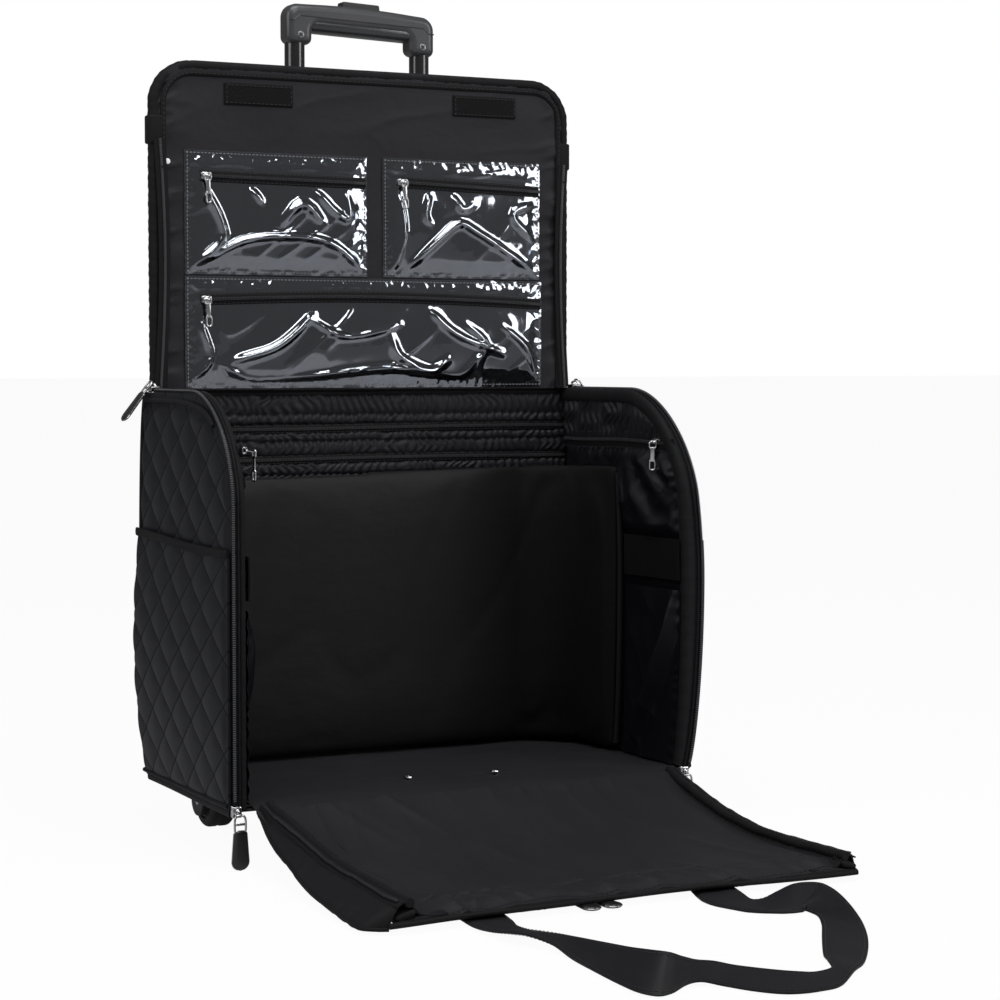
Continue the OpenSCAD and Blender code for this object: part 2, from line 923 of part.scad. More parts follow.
module front_pull_right() placed() color("silver") front_pull(1);

// Small sliders of the clear pockets, each with its pull hanging from it
module pocket_slider(x, s) {
  on_lid(mini_slider[1], clear_t + soft_gap)
    translate([x, s - mini_slider[2] / 2])
      square([mini_slider[0], mini_slider[2]]);
  on_lid(mini_pull[1], clear_t + soft_gap + 0.8)
    translate([x + 1, s - small_pull_len])
      square([mini_pull[0], small_pull_len]);
}

// The side pockets' sliders run from front to back on the tapes
module side_slider(side) {
  x1 = inner_x - 2 * soft_gap - tape_t;
  y0 = -body_d + rim_w + soft_gap + side_zip_start;
  translate([side > 0 ? x1 - mini_slider[1] : -x1, y0, side_zip_z - mini_slider[2] / 2])
    cube([mini_slider[1], mini_slider[0], mini_slider[2]]);
  translate([side > 0 ? x1 - mini_pull[1] - 1 : 1 - x1, y0 + 1.5, side_zip_z - small_pull_len])
    cube([mini_pull[1], mini_pull[0], small_pull_len]);
}

module side_slider_left() placed() color("silver") side_slider(-1);

module side_slider_right() placed() color("silver") side_slider(1);

module pocket_slider_low() placed() color("silver")
  pocket_slider(low_pocket_x[0] + zip_start, low_zip_s);

module pocket_slider_left() placed() color("silver")
  pocket_slider(pocket_x[0][0] + zip_start, high_zip_s);

module pocket_slider_right() placed() color("silver")
  pocket_slider(pocket_x[1][0] + zip_start, high_zip_s);

bottom_panel();
base_board();
floor_rivets();
back_panel();
ruched_bands();
side_wall_left();
side_wall_right();
rims();
case_zip_chains();
outer_pockets();
pocket_bindings();
inner_zip_pockets();
zip_tapes();
elastic_straps();
inner_slip_pockets();
padded_liner();
outer_tubes();
tube_bracket();
handle_bezel();
back_cover();
wheel_housings();
wheel_axles();
front_feet();
middle_tubes();
inner_tubes();
grip_shell();
under_grip();
grip_screws();
grip_button();
push_rods();
button_spring();
tyre_left();
hub_left();
tyre_right();
hub_right();
lid_panel();
lower_clear_pocket();
upper_pockets_rear();
bend_panel();
upper_clear_pockets();
lid_flap();
hook_patches();
front_panel();
front_pocket();
loop_patches();
front_zip_pulls();
carry_strap();
top_slider_left();
top_slider_right();
front_slider_left();
front_slider_right();
top_pull_left();
top_pull_right();
front_pull_left();
front_pull_right();
side_slider_left();
side_slider_right();
pocket_slider_low();
pocket_slider_left();
pocket_slider_right();
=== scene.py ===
import json
import math

import bpy
import numpy as np
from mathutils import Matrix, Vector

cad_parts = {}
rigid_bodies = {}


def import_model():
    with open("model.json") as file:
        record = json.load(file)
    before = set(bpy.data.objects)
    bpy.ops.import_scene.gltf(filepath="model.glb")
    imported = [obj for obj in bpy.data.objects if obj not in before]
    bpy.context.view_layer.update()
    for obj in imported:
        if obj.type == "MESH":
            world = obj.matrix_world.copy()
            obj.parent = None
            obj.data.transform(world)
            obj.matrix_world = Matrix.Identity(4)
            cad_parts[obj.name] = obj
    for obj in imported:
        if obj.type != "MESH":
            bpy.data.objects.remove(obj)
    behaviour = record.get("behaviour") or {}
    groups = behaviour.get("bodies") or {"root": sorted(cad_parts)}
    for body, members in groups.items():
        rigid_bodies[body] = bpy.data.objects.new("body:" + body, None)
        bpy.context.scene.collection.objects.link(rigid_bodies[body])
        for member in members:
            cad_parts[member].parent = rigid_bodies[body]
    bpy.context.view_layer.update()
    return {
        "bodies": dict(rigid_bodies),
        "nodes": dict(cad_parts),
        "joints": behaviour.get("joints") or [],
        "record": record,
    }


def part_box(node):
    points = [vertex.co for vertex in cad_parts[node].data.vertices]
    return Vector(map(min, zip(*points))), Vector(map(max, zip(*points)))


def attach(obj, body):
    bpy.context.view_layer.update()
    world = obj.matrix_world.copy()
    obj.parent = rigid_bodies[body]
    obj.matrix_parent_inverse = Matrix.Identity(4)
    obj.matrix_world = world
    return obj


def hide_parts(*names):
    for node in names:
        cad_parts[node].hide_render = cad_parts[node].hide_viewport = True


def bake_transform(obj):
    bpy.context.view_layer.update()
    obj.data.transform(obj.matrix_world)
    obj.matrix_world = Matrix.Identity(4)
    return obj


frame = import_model()
print("frame loaded")

# Shapes are worked out in bag millimetres: x across, y from the case's back (front is
# negative), z up from the floor. toFrame puts them into the frame's metres.
mm = 0.001
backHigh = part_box("back_panel")[1]
halfW = backHigh[0] / mm
topZ = backHigh[2] / mm
backY = backHigh[1]
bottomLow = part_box("bottom_panel")[0]
depth = (backY - bottomLow[1]) / mm
bottomZ = bottomLow[2] / mm
cornerR = 100
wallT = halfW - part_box("side_wall_left")[1][0] / -mm
rng = np.random.default_rng(11)


def toFrame(points):
    return np.asarray(points, float) * mm + np.array([0, backY, 0])


def bagBox(node):
    low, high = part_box(node)
    shift = np.array([0, backY, 0])
    return (np.array(low) - shift) / mm, (np.array(high) - shift) / mm


# Mesh making

def unit(v):
    return v / np.maximum(np.linalg.norm(v, axis=-1, keepdims=True), 1e-9)


def ease(t):
    t = np.clip(t, 0, 1)
    return t * t * (3 - 2 * t)


def bump(t):  # one smooth hump over 0 to 1, zero outside
    return np.where((t > 0) & (t < 1), np.sin(np.pi * np.clip(t, 0, 1)) ** 2, 0.0)


def pointsAt(*parts):  # numbers or grids joined as x, y and z, or as u and v
    return np.stack(np.broadcast_arrays(*parts), -1)


def gridOf(first, second):
    return np.meshgrid(first, second, indexing="ij")


def runLength(points):  # length along a line of points
    return np.concatenate([[0], np.cumsum(np.linalg.norm(np.diff(points, axis=0), axis=1))])


def newObject(name, data):
    made = bpy.data.objects.new(name, data)
    bpy.context.scene.collection.objects.link(made)
    return made


def gridNormals(p):  # cross product of the two grid directions
    return unit(np.cross(np.gradient(p, axis=0), np.gradient(p, axis=1)))


def gridFaces(nu, nv, closeU=False, closeV=False):
    i, j = gridOf(np.arange(nu if closeU else nu - 1), np.arange(nv if closeV else nv - 1))
    i2, j2 = (i + 1) % nu, (j + 1) % nv
    return pointsAt(i * nv + j, i2 * nv + j, i2 * nv + j2, i * nv + j2).reshape(-1, 4)


# A mesh of quads plus a few many-sided caps. uv is one pair in metres for each point. slot is not used
def addPiece(name, points, faces, material, body, uv=None, nodes=(), slot=None, caps=(), smooth=True):
    mesh = bpy.data.meshes.new(name)
    mesh.from_pydata(toFrame(points), [], [*np.asarray(faces).tolist(), *[list(c) for c in caps]])
    mesh.polygons.foreach_set("use_smooth", np.full(len(mesh.polygons), smooth))
    if uv is not None:
        index = np.zeros(len(mesh.loops), np.int32)
        mesh.loops.foreach_get("vertex_index", index)
        layer = mesh.uv_layers.new(name="UVMap")
        layer.data.foreach_set("uv", np.asarray(uv, np.float32)[index].ravel())
    mesh.materials.append(material)
    mesh.update()
    if smooth:
        mesh.set_sharp_from_angle(angle=math.radians(58))
    piece = newObject(name, mesh)
    if body:
        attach(piece, body)
    if nodes:
        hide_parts(*nodes)
    return piece


def gridUV(p):  # lengths along both grid directions, through the middle row and column
    u, v = runLength(p[:, p.shape[1] // 2]), runLength(p[p.shape[0] // 2])
    return pointsAt(*gridOf(u, v)).reshape(-1, 2) * mm


# A closed sheet: the grid front, a copy thick behind it along its normals, and its rim. uv is a
# pair of grids in mm, and flip turns the faces over by reversing the grid's first direction
def cloth(name, front, thick, material, body, uv=None, normals=None, flip=False, **more):
    if flip:
        front, thick = front[::-1], thick[::-1] if np.ndim(thick) else thick
        uv = uv and [part[::-1] for part in uv]
    nu, nv = front.shape[:2]
    n = gridNormals(front) if normals is None else np.broadcast_to(normals, front.shape)
    back = front - n * (np.asarray(thick)[..., None] if np.ndim(thick) else thick)
    points = np.concatenate([front.reshape(-1, 3), back.reshape(-1, 3)])
    faces = gridFaces(nu, nv)
    m = nu * nv
    grid = np.arange(m).reshape(nu, nv)
    edge = np.concatenate([grid[:, 0], grid[-1, 1:], grid[-2::-1, -1], grid[0, -2:0:-1]])
    following = np.roll(edge, -1)
    brim = pointsAt(following, edge, edge + m, following + m)
    flat = gridUV(front) if uv is None else pointsAt(*uv).reshape(-1, 2) * mm
    return addPiece(name, points, np.concatenate([faces, faces[:, ::-1] + m, brim]), material, body,
                    uv=np.concatenate([flat, flat]), **more)


# Tangent, side and up vectors along a path; the up hint is squared to the path
def frames(path, up, closed=False):
    t = unit(np.roll(path, -1, 0) - np.roll(path, 1, 0) if closed else np.gradient(path, axis=0))
    up = np.broadcast_to(np.asarray(up, float), path.shape)
    n = unit(up - (up * t).sum(1, keepdims=True) * t)
    return t, np.cross(n, t), n


# Carries a profile, or one profile for each point, along a path. A profile is (side, up)
def sweepPoints(path, up, profile, closed=False):
    _, b, n = frames(path, up, closed)
    profile = np.broadcast_to(profile, (len(path), *np.shape(profile)[-2:]))
    return path[:, None] + profile[..., :1] * b[:, None] + profile[..., 1:] * n[:, None]


# A closed tube: a profile that runs counterclockwise, carried along a path, with end caps
def sweep(name, path, up, profile, material, body, closed=False, **more):
    path = np.asarray(path, float)
    p = sweepPoints(path, up, profile, closed)
    n, m = p.shape[:2]
    faces = gridFaces(n, m, closed, True)[:, ::-1]
    caps = [] if closed else [range(m)[::-1], range((n - 1) * m, n * m)]
    uv = pointsAt(*gridOf(runLength(path), runLength(p[0]))).reshape(-1, 2) * mm
    return addPiece(name, p.reshape(-1, 3), faces, material, body, uv=uv, caps=caps, **more)


# A superellipse profile; a higher power is boxier
def ring(width, height=None, count=12, power=2.0):
    a = np.linspace(0, 2 * np.pi, count, endpoint=False)
    c, s = np.cos(a), np.sin(a)
    return pointsAt(np.sign(c) * np.abs(c) ** (2 / power) * width / 2,
                    np.sign(s) * np.abs(s) ** (2 / power) * (height or width) / 2)


def rings(wide, high, count, power):  # one section for each point of a path
    return ring(1, 1, count, power)[None] * pointsAt(wide, high)[:, None]


# A Catmull-Rom curve through the points, or straight lines, at an even step
def resample(points, step, smooth=True):
    p = np.asarray(points, float)
    if smooth and len(p) > 2:
        q = np.concatenate([[2 * p[0] - p[1]], p, [2 * p[-1] - p[-2]]])
        t = np.linspace(0, 1, 24, endpoint=False)[:, None]
        a, b, c, d = q[:-3, None], q[1:-2, None], q[2:-1, None], q[3:, None]
        dense = 0.5 * (2 * b + (c - a) * t + (2 * a - 5 * b + 4 * c - d) * t ** 2
                       + (3 * b - a - 3 * c + d) * t ** 3)
        p = np.concatenate([dense.reshape(-1, p.shape[1]), p[-1:]])
    s = runLength(p[:, :3])
    new = np.linspace(0, s[-1], max(2, int(round(s[-1] / step)) + 1))
    return np.stack([np.interp(new, s, p[:, k]) for k in range(p.shape[1])], -1)


# Copies a small shape to many places. axes holds three direction vectors for each place
def scatter(name, centres, axes, shape, faces, material, body, **more):
    points = centres[:, None] + np.einsum("kj,njc->nkc", shape, axes)
    shifted = np.asarray(faces)[None] + (np.arange(len(centres)) * len(shape))[:, None, None]
    return addPiece(name, points.reshape(-1, 3), shifted.reshape(-1, 4), material, body, **more)


blockFaces = [[0, 1, 2, 3], [7, 6, 5, 4], [0, 4, 5, 1], [1, 5, 6, 2], [2, 6, 7, 3], [3, 7, 4, 0]]


# A small block, a by b by c, whose top is drawn in by taper
def blockShape(a, b, c, taper=1.0):
    corners = np.array([[-1, -1], [-1, 1], [1, 1], [1, -1]]) / 2
    low = np.concatenate([corners * [a, b], np.zeros((4, 1))], 1)
    high = np.concatenate([corners * [a, b] * taper, np.full((4, 1), c)], 1)
    return np.concatenate([low, high])


# Materials

# Wraps a socket, so that an expression on values adds its Math nodes
class Sock:
    def __init__(self, finish, socket):
        self.finish, self.socket = finish, socket

    def math(self, operation, *others):
        return self.finish.node("Math", {"operation": operation}, dict(enumerate([self, *others])))

    def __add__(self, other):
        return self.math("ADD", other)

    def __sub__(self, other):
        return self.math("SUBTRACT", other)

    def __rsub__(self, other):
        return self.finish.node("Math", {"operation": "SUBTRACT"}, {0: other, 1: self})

    def __mul__(self, other):
        return self.math("MULTIPLY", other)

    __radd__, __rmul__ = __add__, __mul__

    def sine(self):
        return self.math("SINE")

    def absolute(self):
        return self.math("ABSOLUTE")

    def fract(self):
        return self.math("FRACT")

    def below(self, limit):
        return self.math("LESS_THAN", limit)

    def clamp(self):
        return self.finish.node("Clamp", {}, {"Value": self})


# A material with one Principled shader, or a world, and the method that adds its nodes
class Finish:
    def __init__(self, name, kind="Material"):
        self.owner = {"Material": bpy.data.materials, "World": bpy.data.worlds}[kind].new(name)
        self.owner.use_nodes = True
        self.tree = self.owner.node_tree
        self.tree.nodes.clear()
        self.end = self.tree.nodes.new("ShaderNodeOutput" + kind)

    def node(self, kind, settings=None, inputs=None, output=0):
        made = self.tree.nodes.new("ShaderNode" + kind)
        for key, value in (settings or {}).items():
            setattr(made, key, value)
        for key, value in (inputs or {}).items():
            if isinstance(value, Sock):
                self.tree.links.new(value.socket, made.inputs[key])
            else:
                made.inputs[key].default_value = value
        return Sock(self, made.outputs[output])

    def place(self):
        return self.node("TexCoord", output="Object")

    def flatPlace(self):
        return self.node("UVMap", {"uv_map": "UVMap"})

    def scaled(self, where, x, y, z):
        return self.node("VectorMath", {"operation": "MULTIPLY"}, {0: where, 1: (x, y, z)})

    def parts(self, where):
        made = self.node("SeparateXYZ", {}, {0: where})
        return [Sock(self, made.socket.node.outputs[k]) for k in range(3)]

    def noise(self, where, scale, detail=3.0, rough=0.5):
        inputs = {"Vector": where, "Scale": scale, "Detail": detail, "Roughness": rough}
        return self.node("TexNoise", {}, inputs, "Fac")

    def mixColour(self, share, a, b):
        return self.node("Mix", {"data_type": "RGBA"}, {"Factor": share, 6: a, 7: b}, 2)

    def shader(self, **inputs):
        named = {key.replace("_", " "): value for key, value in inputs.items()}
        return self.node("BsdfPrincipled", {}, named)

    def bumped(self, height, distance, strength=1.0, under=None):
        inputs = {"Height": height, "Distance": distance, "Strength": strength}
        if under is not None:
            inputs["Normal"] = under
        return self.node("Bump", {}, inputs)

    def done(self, shader):
        self.tree.links.new(shader.socket, self.end.inputs["Surface"])
        return self.owner


def rgba(r, g, b):
    return (r, g, b, 1.0)


# Over and under threads, threads to the metre: sin(x) and sin(y) checkered
def weave(f, where, threads):
    x, y, _ = f.parts(where)
    a, b = (x * (threads * math.pi)).sine(), (y * (threads * math.pi)).sine()
    return (a.absolute() * 0.5 + b.absolute() * 0.5) + (a * b) * 0.35


# Woven cloth: a colour with slow variation, a fine weave, soft wrinkles and a sheen; where asked,
# painted shade darkens the cloth past x 85 mm
def fabric(name, colour, lift, rough, sheen, threads, grain=0.0, wrinkle=0.0, sheenTint=(0.8, 0.8, 0.9),
           wingShade=0.0):
    f = Finish(name)
    flat, where = f.flatPlace(), f.place()
    cloud = f.noise(where, 14.0, 4.0, 0.6)
    fine = f.noise(flat, 900.0, 2.0)
    tone = f.mixColour((cloud * 0.7 + fine * 0.3).clamp(), rgba(*colour),
                       rgba(*[c * lift for c in colour]))
    crease = f.noise(f.scaled(where, 1, 1, 1.7), 26.0, 5.0, 0.55)
    normal = f.bumped(crease, wrinkle * mm, 1.0) if wrinkle else None
    normal = f.bumped(weave(f, flat, threads) + fine * grain, 0.12 * mm, 0.5, normal)
    dull = cloud * 0.12 + (rough - 0.06)
    # Painted shade: past x 85 mm the colour goes to near black and the cloth duller, standing in for
    # the shade on the liner's wing
    if wingShade:
        wingShadeShare = ((f.parts(where)[0] - 0.085) * 16.0).clamp() * wingShade
        tone = f.mixColour(wingShadeShare, tone, rgba(0.0010, 0.0010, 0.0011))
        dull = dull + wingShadeShare * 0.3
    return f.done(f.shader(Base_Color=tone, Roughness=dull, Normal=normal, Sheen_Weight=sheen * 0.25,
                           Sheen_Roughness=0.45, Sheen_Tint=rgba(*sheenTint), Specular_IOR_Level=0.18))


# Moulded plastic: fine grain, slight shade variation and rubbed patches
def plastic(name, colour, rough, grainScale, grain, coat=0.0):
    f = Finish(name)
    where = f.place()
    cloud, fine = f.noise(where, 22.0, 4.0, 0.6), f.noise(where, grainScale, 3.0, 0.6)
    tone = f.mixColour(cloud, rgba(*colour), rgba(*[c * 1.5 for c in colour]))
    return f.done(f.shader(Base_Color=tone, Roughness=cloud * 0.14 + (rough - 0.07),
                           Normal=f.bumped(fine, grain * mm, 0.6), Coat_Weight=coat,
                           Coat_Roughness=0.15))


# Plated metal: faint smudges in its roughness, and fine brushing if wanted
def metal(name, colour, rough, brushed=0.0):
    f = Finish(name)
    where = f.place()
    smudge = f.noise(where, 90.0, 4.0, 0.65)
    fine = f.noise(f.scaled(where, 1, 1, 30), 260.0, 2.0)
    tone = f.mixColour(smudge, rgba(*colour), rgba(*[c * 0.86 for c in colour]))
    return f.done(f.shader(Base_Color=tone, Metallic=1.0, Roughness=smudge * 0.12 + rough,
                           Normal=f.bumped(fine, 0.02 * mm, brushed)))


quiltPitch = {"across": 46.0, "up": 40.6, "phaseA": 0.758, "phaseB": 0.034, "puff": 2.5}


# Puffs between two families of slanted seams: the product of two absolute sines
def quiltHeight(y, z):
    u, v = y / quiltPitch["across"], z / quiltPitch["up"]
    a = np.abs(np.sin(np.pi * (u + v - quiltPitch["phaseA"])))
    b = np.abs(np.sin(np.pi * (u - v - quiltPitch["phaseB"])))
    return quiltPitch["puff"] * (a * b) ** 0.5


# Soft coated cloth with a dashed thread along each quilting seam and painted shade in a band along each
# seam groove, on UV in metres (y, z)
def quiltedFabric():
    f = Finish("quiltedCloth")
    flat, where = f.flatPlace(), f.place()
    x, y, _ = f.parts(flat)
    u, v = x * (1000 / quiltPitch["across"]), y * (1000 / quiltPitch["up"])
    seam = None
    for line, along, phase in ((u + v, u - v, "phaseA"), (u - v, u + v, "phaseB")):
        offset = ((line - (quiltPitch[phase] - 0.5)).fract() - 0.5).absolute()
        thread = offset.below(0.016) * (along * 9.0).fract().below(0.62)
        # A band either side of each seam, used as painted shade in the colour and as the groove's bump
        grooveShade = (1.0 - offset * 20.0).clamp() * 0.4
        seam = thread + grooveShade if seam is None else seam + thread + grooveShade
    seam = seam.clamp()
    cloud, fine = f.noise(where, 12.0, 4.0, 0.6), f.noise(where, 1500.0, 2.0)
    tone = f.mixColour(cloud, rgba(0.0064, 0.0067, 0.0094), rgba(0.0098, 0.0102, 0.0136))
    # Along each seam the colour goes near black: the real dark thread, plus painted shade in the groove
    # band
    tone = f.mixColour(seam, tone, rgba(0.0008, 0.0008, 0.0011))
    crease = f.noise(where, 60.0, 4.0, 0.55)
    normal = f.bumped(crease, 0.7 * mm, 0.5)
    normal = f.bumped(fine - seam * 3.0, 0.14 * mm, 0.6, normal)
    return f.done(f.shader(Base_Color=tone, Roughness=(cloud * 0.1 + 0.42 + seam * 0.5).clamp(),
                           Normal=normal, Sheen_Weight=0.03, Sheen_Roughness=0.4,
                           Sheen_Tint=rgba(0.75, 0.78, 1.0), Specular_IOR_Level=0.19))


# Clear sheet: see-through face on, mirror-like at a slant, faintly hazy and blue
def clearVinyl():
    f = Finish("clearVinyl")
    where = f.place()
    wave = f.noise(where, 16.0, 3.0, 0.5)
    normal = f.bumped(wave, 1.6 * mm, 0.7)
    shine = f.node("Fresnel", {}, {"IOR": 1.5, "Normal": normal})
    gloss = f.shader(Base_Color=rgba(0.90, 0.93, 0.97), Metallic=1.0, Roughness=0.05, Normal=normal)
    clear = f.node("BsdfTransparent", {}, {"Color": rgba(0.86, 0.88, 0.92)})
    share = (shine * 4.4 + 0.003).clamp()
    return f.done(f.node("MixShader", {}, {0: share, 1: clear, 2: gloss}))


quilted = quiltedFabric()
vinyl = clearVinyl()
shellCloth = fabric("shellCloth", (0.0055, 0.0055, 0.0065), 1.6, 0.62, 0.10, 2200)
bindingCloth = fabric("bindingCloth", (0.0042, 0.0042, 0.0048), 1.6, 0.70, 0.10, 1500, 0.4, 0.5)
satin = fabric("satinLining", (0.0042, 0.0040, 0.0056), 1.8, 0.24, 0.02, 3000, 0.0, 0.6)
ruchedSatin = fabric("ruchedSatin", (0.0086, 0.0084, 0.0102), 1.8, 0.33, 0.06, 3000, 0.0, 0.6)
lidLining = fabric("lidLining", (0.0125, 0.0115, 0.0142), 1.35, 0.44, 0.10, 2400, 0.0, 0.9,
                   (0.9, 0.8, 1.0))
# The liner's right wing gets painted shade
linerCloth = fabric("linerCloth", (0.0076, 0.0075, 0.0078), 1.5, 0.46, 0.08, 2400, 0.0, 0.8, wingShade=1.0)
panelCloth = fabric("panelCloth", (0.0136, 0.0133, 0.0147), 1.5, 0.44, 0.08, 2400, 0.0, 0.8)
webbing = fabric("webbing", (0.0080, 0.0080, 0.0092), 1.5, 0.50, 0.12, 1700)
zipTape = fabric("zipTape", (0.0040, 0.0040, 0.0046), 1.5, 0.66, 0.05, 1600)
elastic = fabric("elastic", (0.0014, 0.0014, 0.0017), 1.4, 0.88, 0.02, 900, 0.3)
pile = fabric("hookPile", (0.0026, 0.0026, 0.0030), 2.2, 0.85, 0.10, 700, 2.0)
nickel = metal("nickel", (0.66, 0.66, 0.67), 0.15)
steel = metal("steel", (0.62, 0.62, 0.62), 0.28, 0.4)
screwHead = metal("screwHead", (0.30, 0.30, 0.30), 0.30, 0.2)
toothCoil = plastic("zipCoil", (0.028, 0.028, 0.031), 0.34, 700.0, 0.02)
# A lighter copy of the coil plastic: painted highlight on the chains whose teeth catch the lamps
toothBright = plastic("zipCoilRubbed", (0.075, 0.075, 0.08), 0.30, 700.0, 0.02)
tubeBlack = plastic("tubeGloss", (0.012, 0.012, 0.013), 0.20, 900.0, 0.004, 0.6)
gripPlastic = plastic("gripPlastic", (0.036, 0.0366, 0.039), 0.36, 1300.0, 0.05, 0.12)
gripUnder = plastic("gripUnder", (0.020, 0.0205, 0.0225), 0.27, 1300.0, 0.04, 0.5)
moulded = plastic("mouldedPlastic", (0.014, 0.014, 0.015), 0.50, 900.0, 0.06)
rubber = plastic("tyreRubber", (0.013, 0.013, 0.013), 0.62, 500.0, 0.05)
pullInsert = plastic("pullInsert", (0.010, 0.010, 0.011), 0.30, 800.0, 0.02, 0.3)
thread = plastic("thread", (0.010, 0.010, 0.012), 0.70, 1500.0, 0.02)
stitchLight = plastic("stitchLight", (0.13, 0.135, 0.145), 0.45, 900.0, 0.02)
snapWhite = plastic("snapWhite", (0.75, 0.75, 0.75), 0.3, 500.0, 0.01)

print("materials made")


# Stage, light and camera

# A white floor that runs to the horizon, lit as white for the camera but keeping a shadow
def makeStage():
    f = Finish("floorWhite")
    rays = f.node("LightPath")
    glossy = Sock(f, rays.socket.node.outputs["Is Glossy Ray"])
    plain = f.node("BsdfDiffuse", {}, {"Color": rgba(0.82, 0.82, 0.82)})
    dim = f.node("BsdfDiffuse", {}, {"Color": rgba(0.40, 0.40, 0.42)})
    seen = f.node("MixShader", {}, {0: glossy, 1: plain, 2: dim})
    glow = f.node("Emission", {}, {"Color": rgba(1, 1, 1), "Strength": 1.0})
    material = f.done(f.node("MixShader", {}, {0: rays * 0.955 + glossy * 0.12, 1: seen, 2: glow}))
    size = 60.0
    mesh = bpy.data.meshes.new("floor")
    mesh.from_pydata([(-size, -size, 0), (size, -size, 0), (size, size, 0), (-size, size, 0)], [],
                     [(0, 1, 2, 3)])
    mesh.materials.append(material)
    newObject("floor", mesh)


def makeWorld():
    f = Finish("studio", "World")
    seen = f.node("LightPath", output="Is Camera Ray")
    light, white = [f.node("Background", {}, {"Color": rgba(1, 1, 1), "Strength": strength})
                    for strength in (0.12, 1.0)]
    bpy.context.scene.world = f.done(f.node("MixShader", {}, {0: seen, 1: light, 2: white}))


lamps = {
    "overhead": {"at": (-0.3, -0.6, 2.6), "to": (0, 0.1, 0.4), "size": (2.0, 1.4), "power": 42},
    "leftBox": {"at": (-2.4, 0.0, 1.6), "to": (0, 0.1, 0.5), "size": (1.2, 1.6), "power": 19},
    "rightBox": {"at": (2.0, -1.7, 1.4), "to": (0, 0.1, 0.4), "size": (1.0, 1.6), "power": 22},
    "frontStrip": {"at": (0.2, -2.6, 2.2), "to": (0, 0.1, 0.4), "size": (1.4, 0.5), "power": 16},
}


def makeLamps():
    for name, lamp in lamps.items():
        data = bpy.data.lights.new(name, "AREA")
        data.shape = "RECTANGLE"
        data.size, data.size_y = lamp["size"]
        data.energy = lamp["power"]
        piece = newObject(name, data)
        piece.location = lamp["at"]
        aim = np.array(lamp["to"]) - np.array(lamp["at"])
        flat = math.hypot(aim[0], aim[1])
        piece.rotation_euler = (math.atan2(flat, -aim[2]), 0, math.atan2(-aim[0], aim[1]))


view = {"at": (-0.9972, -2.160, 0.4265), "pitch": 3.178, "turn": -27.843, "lens": 89.58}


def makeCamera():
    data = bpy.data.cameras.new("photoView")
    data.lens = view["lens"]
    data.sensor_width = 36
    camera = newObject("photoView", data)
    x, y, z = view["at"]
    camera.location = (x, y + backY, z)
    camera.rotation_euler = (math.radians(90 - view["pitch"]), 0, math.radians(view["turn"]))
    bpy.context.scene.camera = camera


makeStage()
makeWorld()
makeLamps()
makeCamera()
bpy.context.scene.view_settings.view_transform = "Standard"
print("stage, lamps and camera set")


# Case shell

# Height of the case's outline over y: flat, then the quarter circle of the front corner
def outline(y):
    run = np.clip(-np.asarray(y, float) - (depth - cornerR), 0, cornerR)
    return topZ - cornerR + np.sqrt(np.maximum(cornerR ** 2 - run ** 2, 0))


# Distance from a point of the side view in to the case's outline
def edgeInset(y, z):
    dy, dz = -(depth - cornerR) - y, z - (topZ - cornerR)
    corner = cornerR - np.hypot(dy, dz)
    return np.where((dy > 0) & (dz > 0), corner, np.minimum(topZ - z, y + depth))


# Points and outward normals (y, z) along the top, round the corner and down the front
def edgeLine(step, inset=0.0, back=-5.0, low=2.0):
    flat, r = depth - cornerR + back, cornerR - inset
    arc, fall = r * math.pi / 2, topZ - cornerR - bottomZ - low
    s = np.linspace(0, flat + arc + fall, int((flat + arc + fall) / step))
    turn = np.clip((s - flat) / r, 0, math.pi / 2)
    n = pointsAt(-np.sin(turn), np.cos(turn))
    centre = np.array([-(depth - cornerR), topZ - cornerR])
    yz = centre + n * r
    yz[:, 0] += np.clip(flat - s, 0, None)
    yz[:, 1] -= np.clip(s - flat - arc, 0, None)
    return yz, n


bow = {"right": 18.0, "left": 7.2, "edge": 6.5}


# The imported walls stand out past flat: the right one most at its front, the left one at its back
def wallBow(side, y, z):
    t = np.clip((z - bottomZ) / (topZ - bottomZ), 0, 1)
    ahead = ease(-y / depth)
    if side > 0:
        return bow["right"] * np.sin(np.pi * t) ** np.where(t < 0.5, 0.55, 1.3) * ahead
    return bow["edge"] * ahead + bow["left"] * np.sin(np.pi * t).clip(0.001) ** 0.35 * (1 - ahead)


def wallX(side, y, z, out=0.0):
    return side * (halfW + wallBow(side, y, z) + out)


def wallPoint(side, y, z, out=0.0):
    return pointsAt(wallX(side, y, z, out), y, z)


def sideName(side):
    return "Left" if side < 0 else "Right"


def nodeSide(side):
    return "left" if side < 0 else "right"


ridge = np.array([(-6, 392), (-52, 392), (-89, 392), (-124, 390), (-152, 386.5), (-170, 381),
                  (-184, 372)])


# y places from the back to the front, closer together round the front corner
def depthSteps(first, last, step):
    straight = np.linspace(first, -(depth - cornerR), int((depth - cornerR + first) / step))
    reach = math.asin(min(1.0, (-last - (depth - cornerR)) / cornerR))
    turn = np.linspace(0, reach, int(cornerR * reach / step))[1:]
    return np.concatenate([straight, -(depth - cornerR) - cornerR * np.sin(turn)])


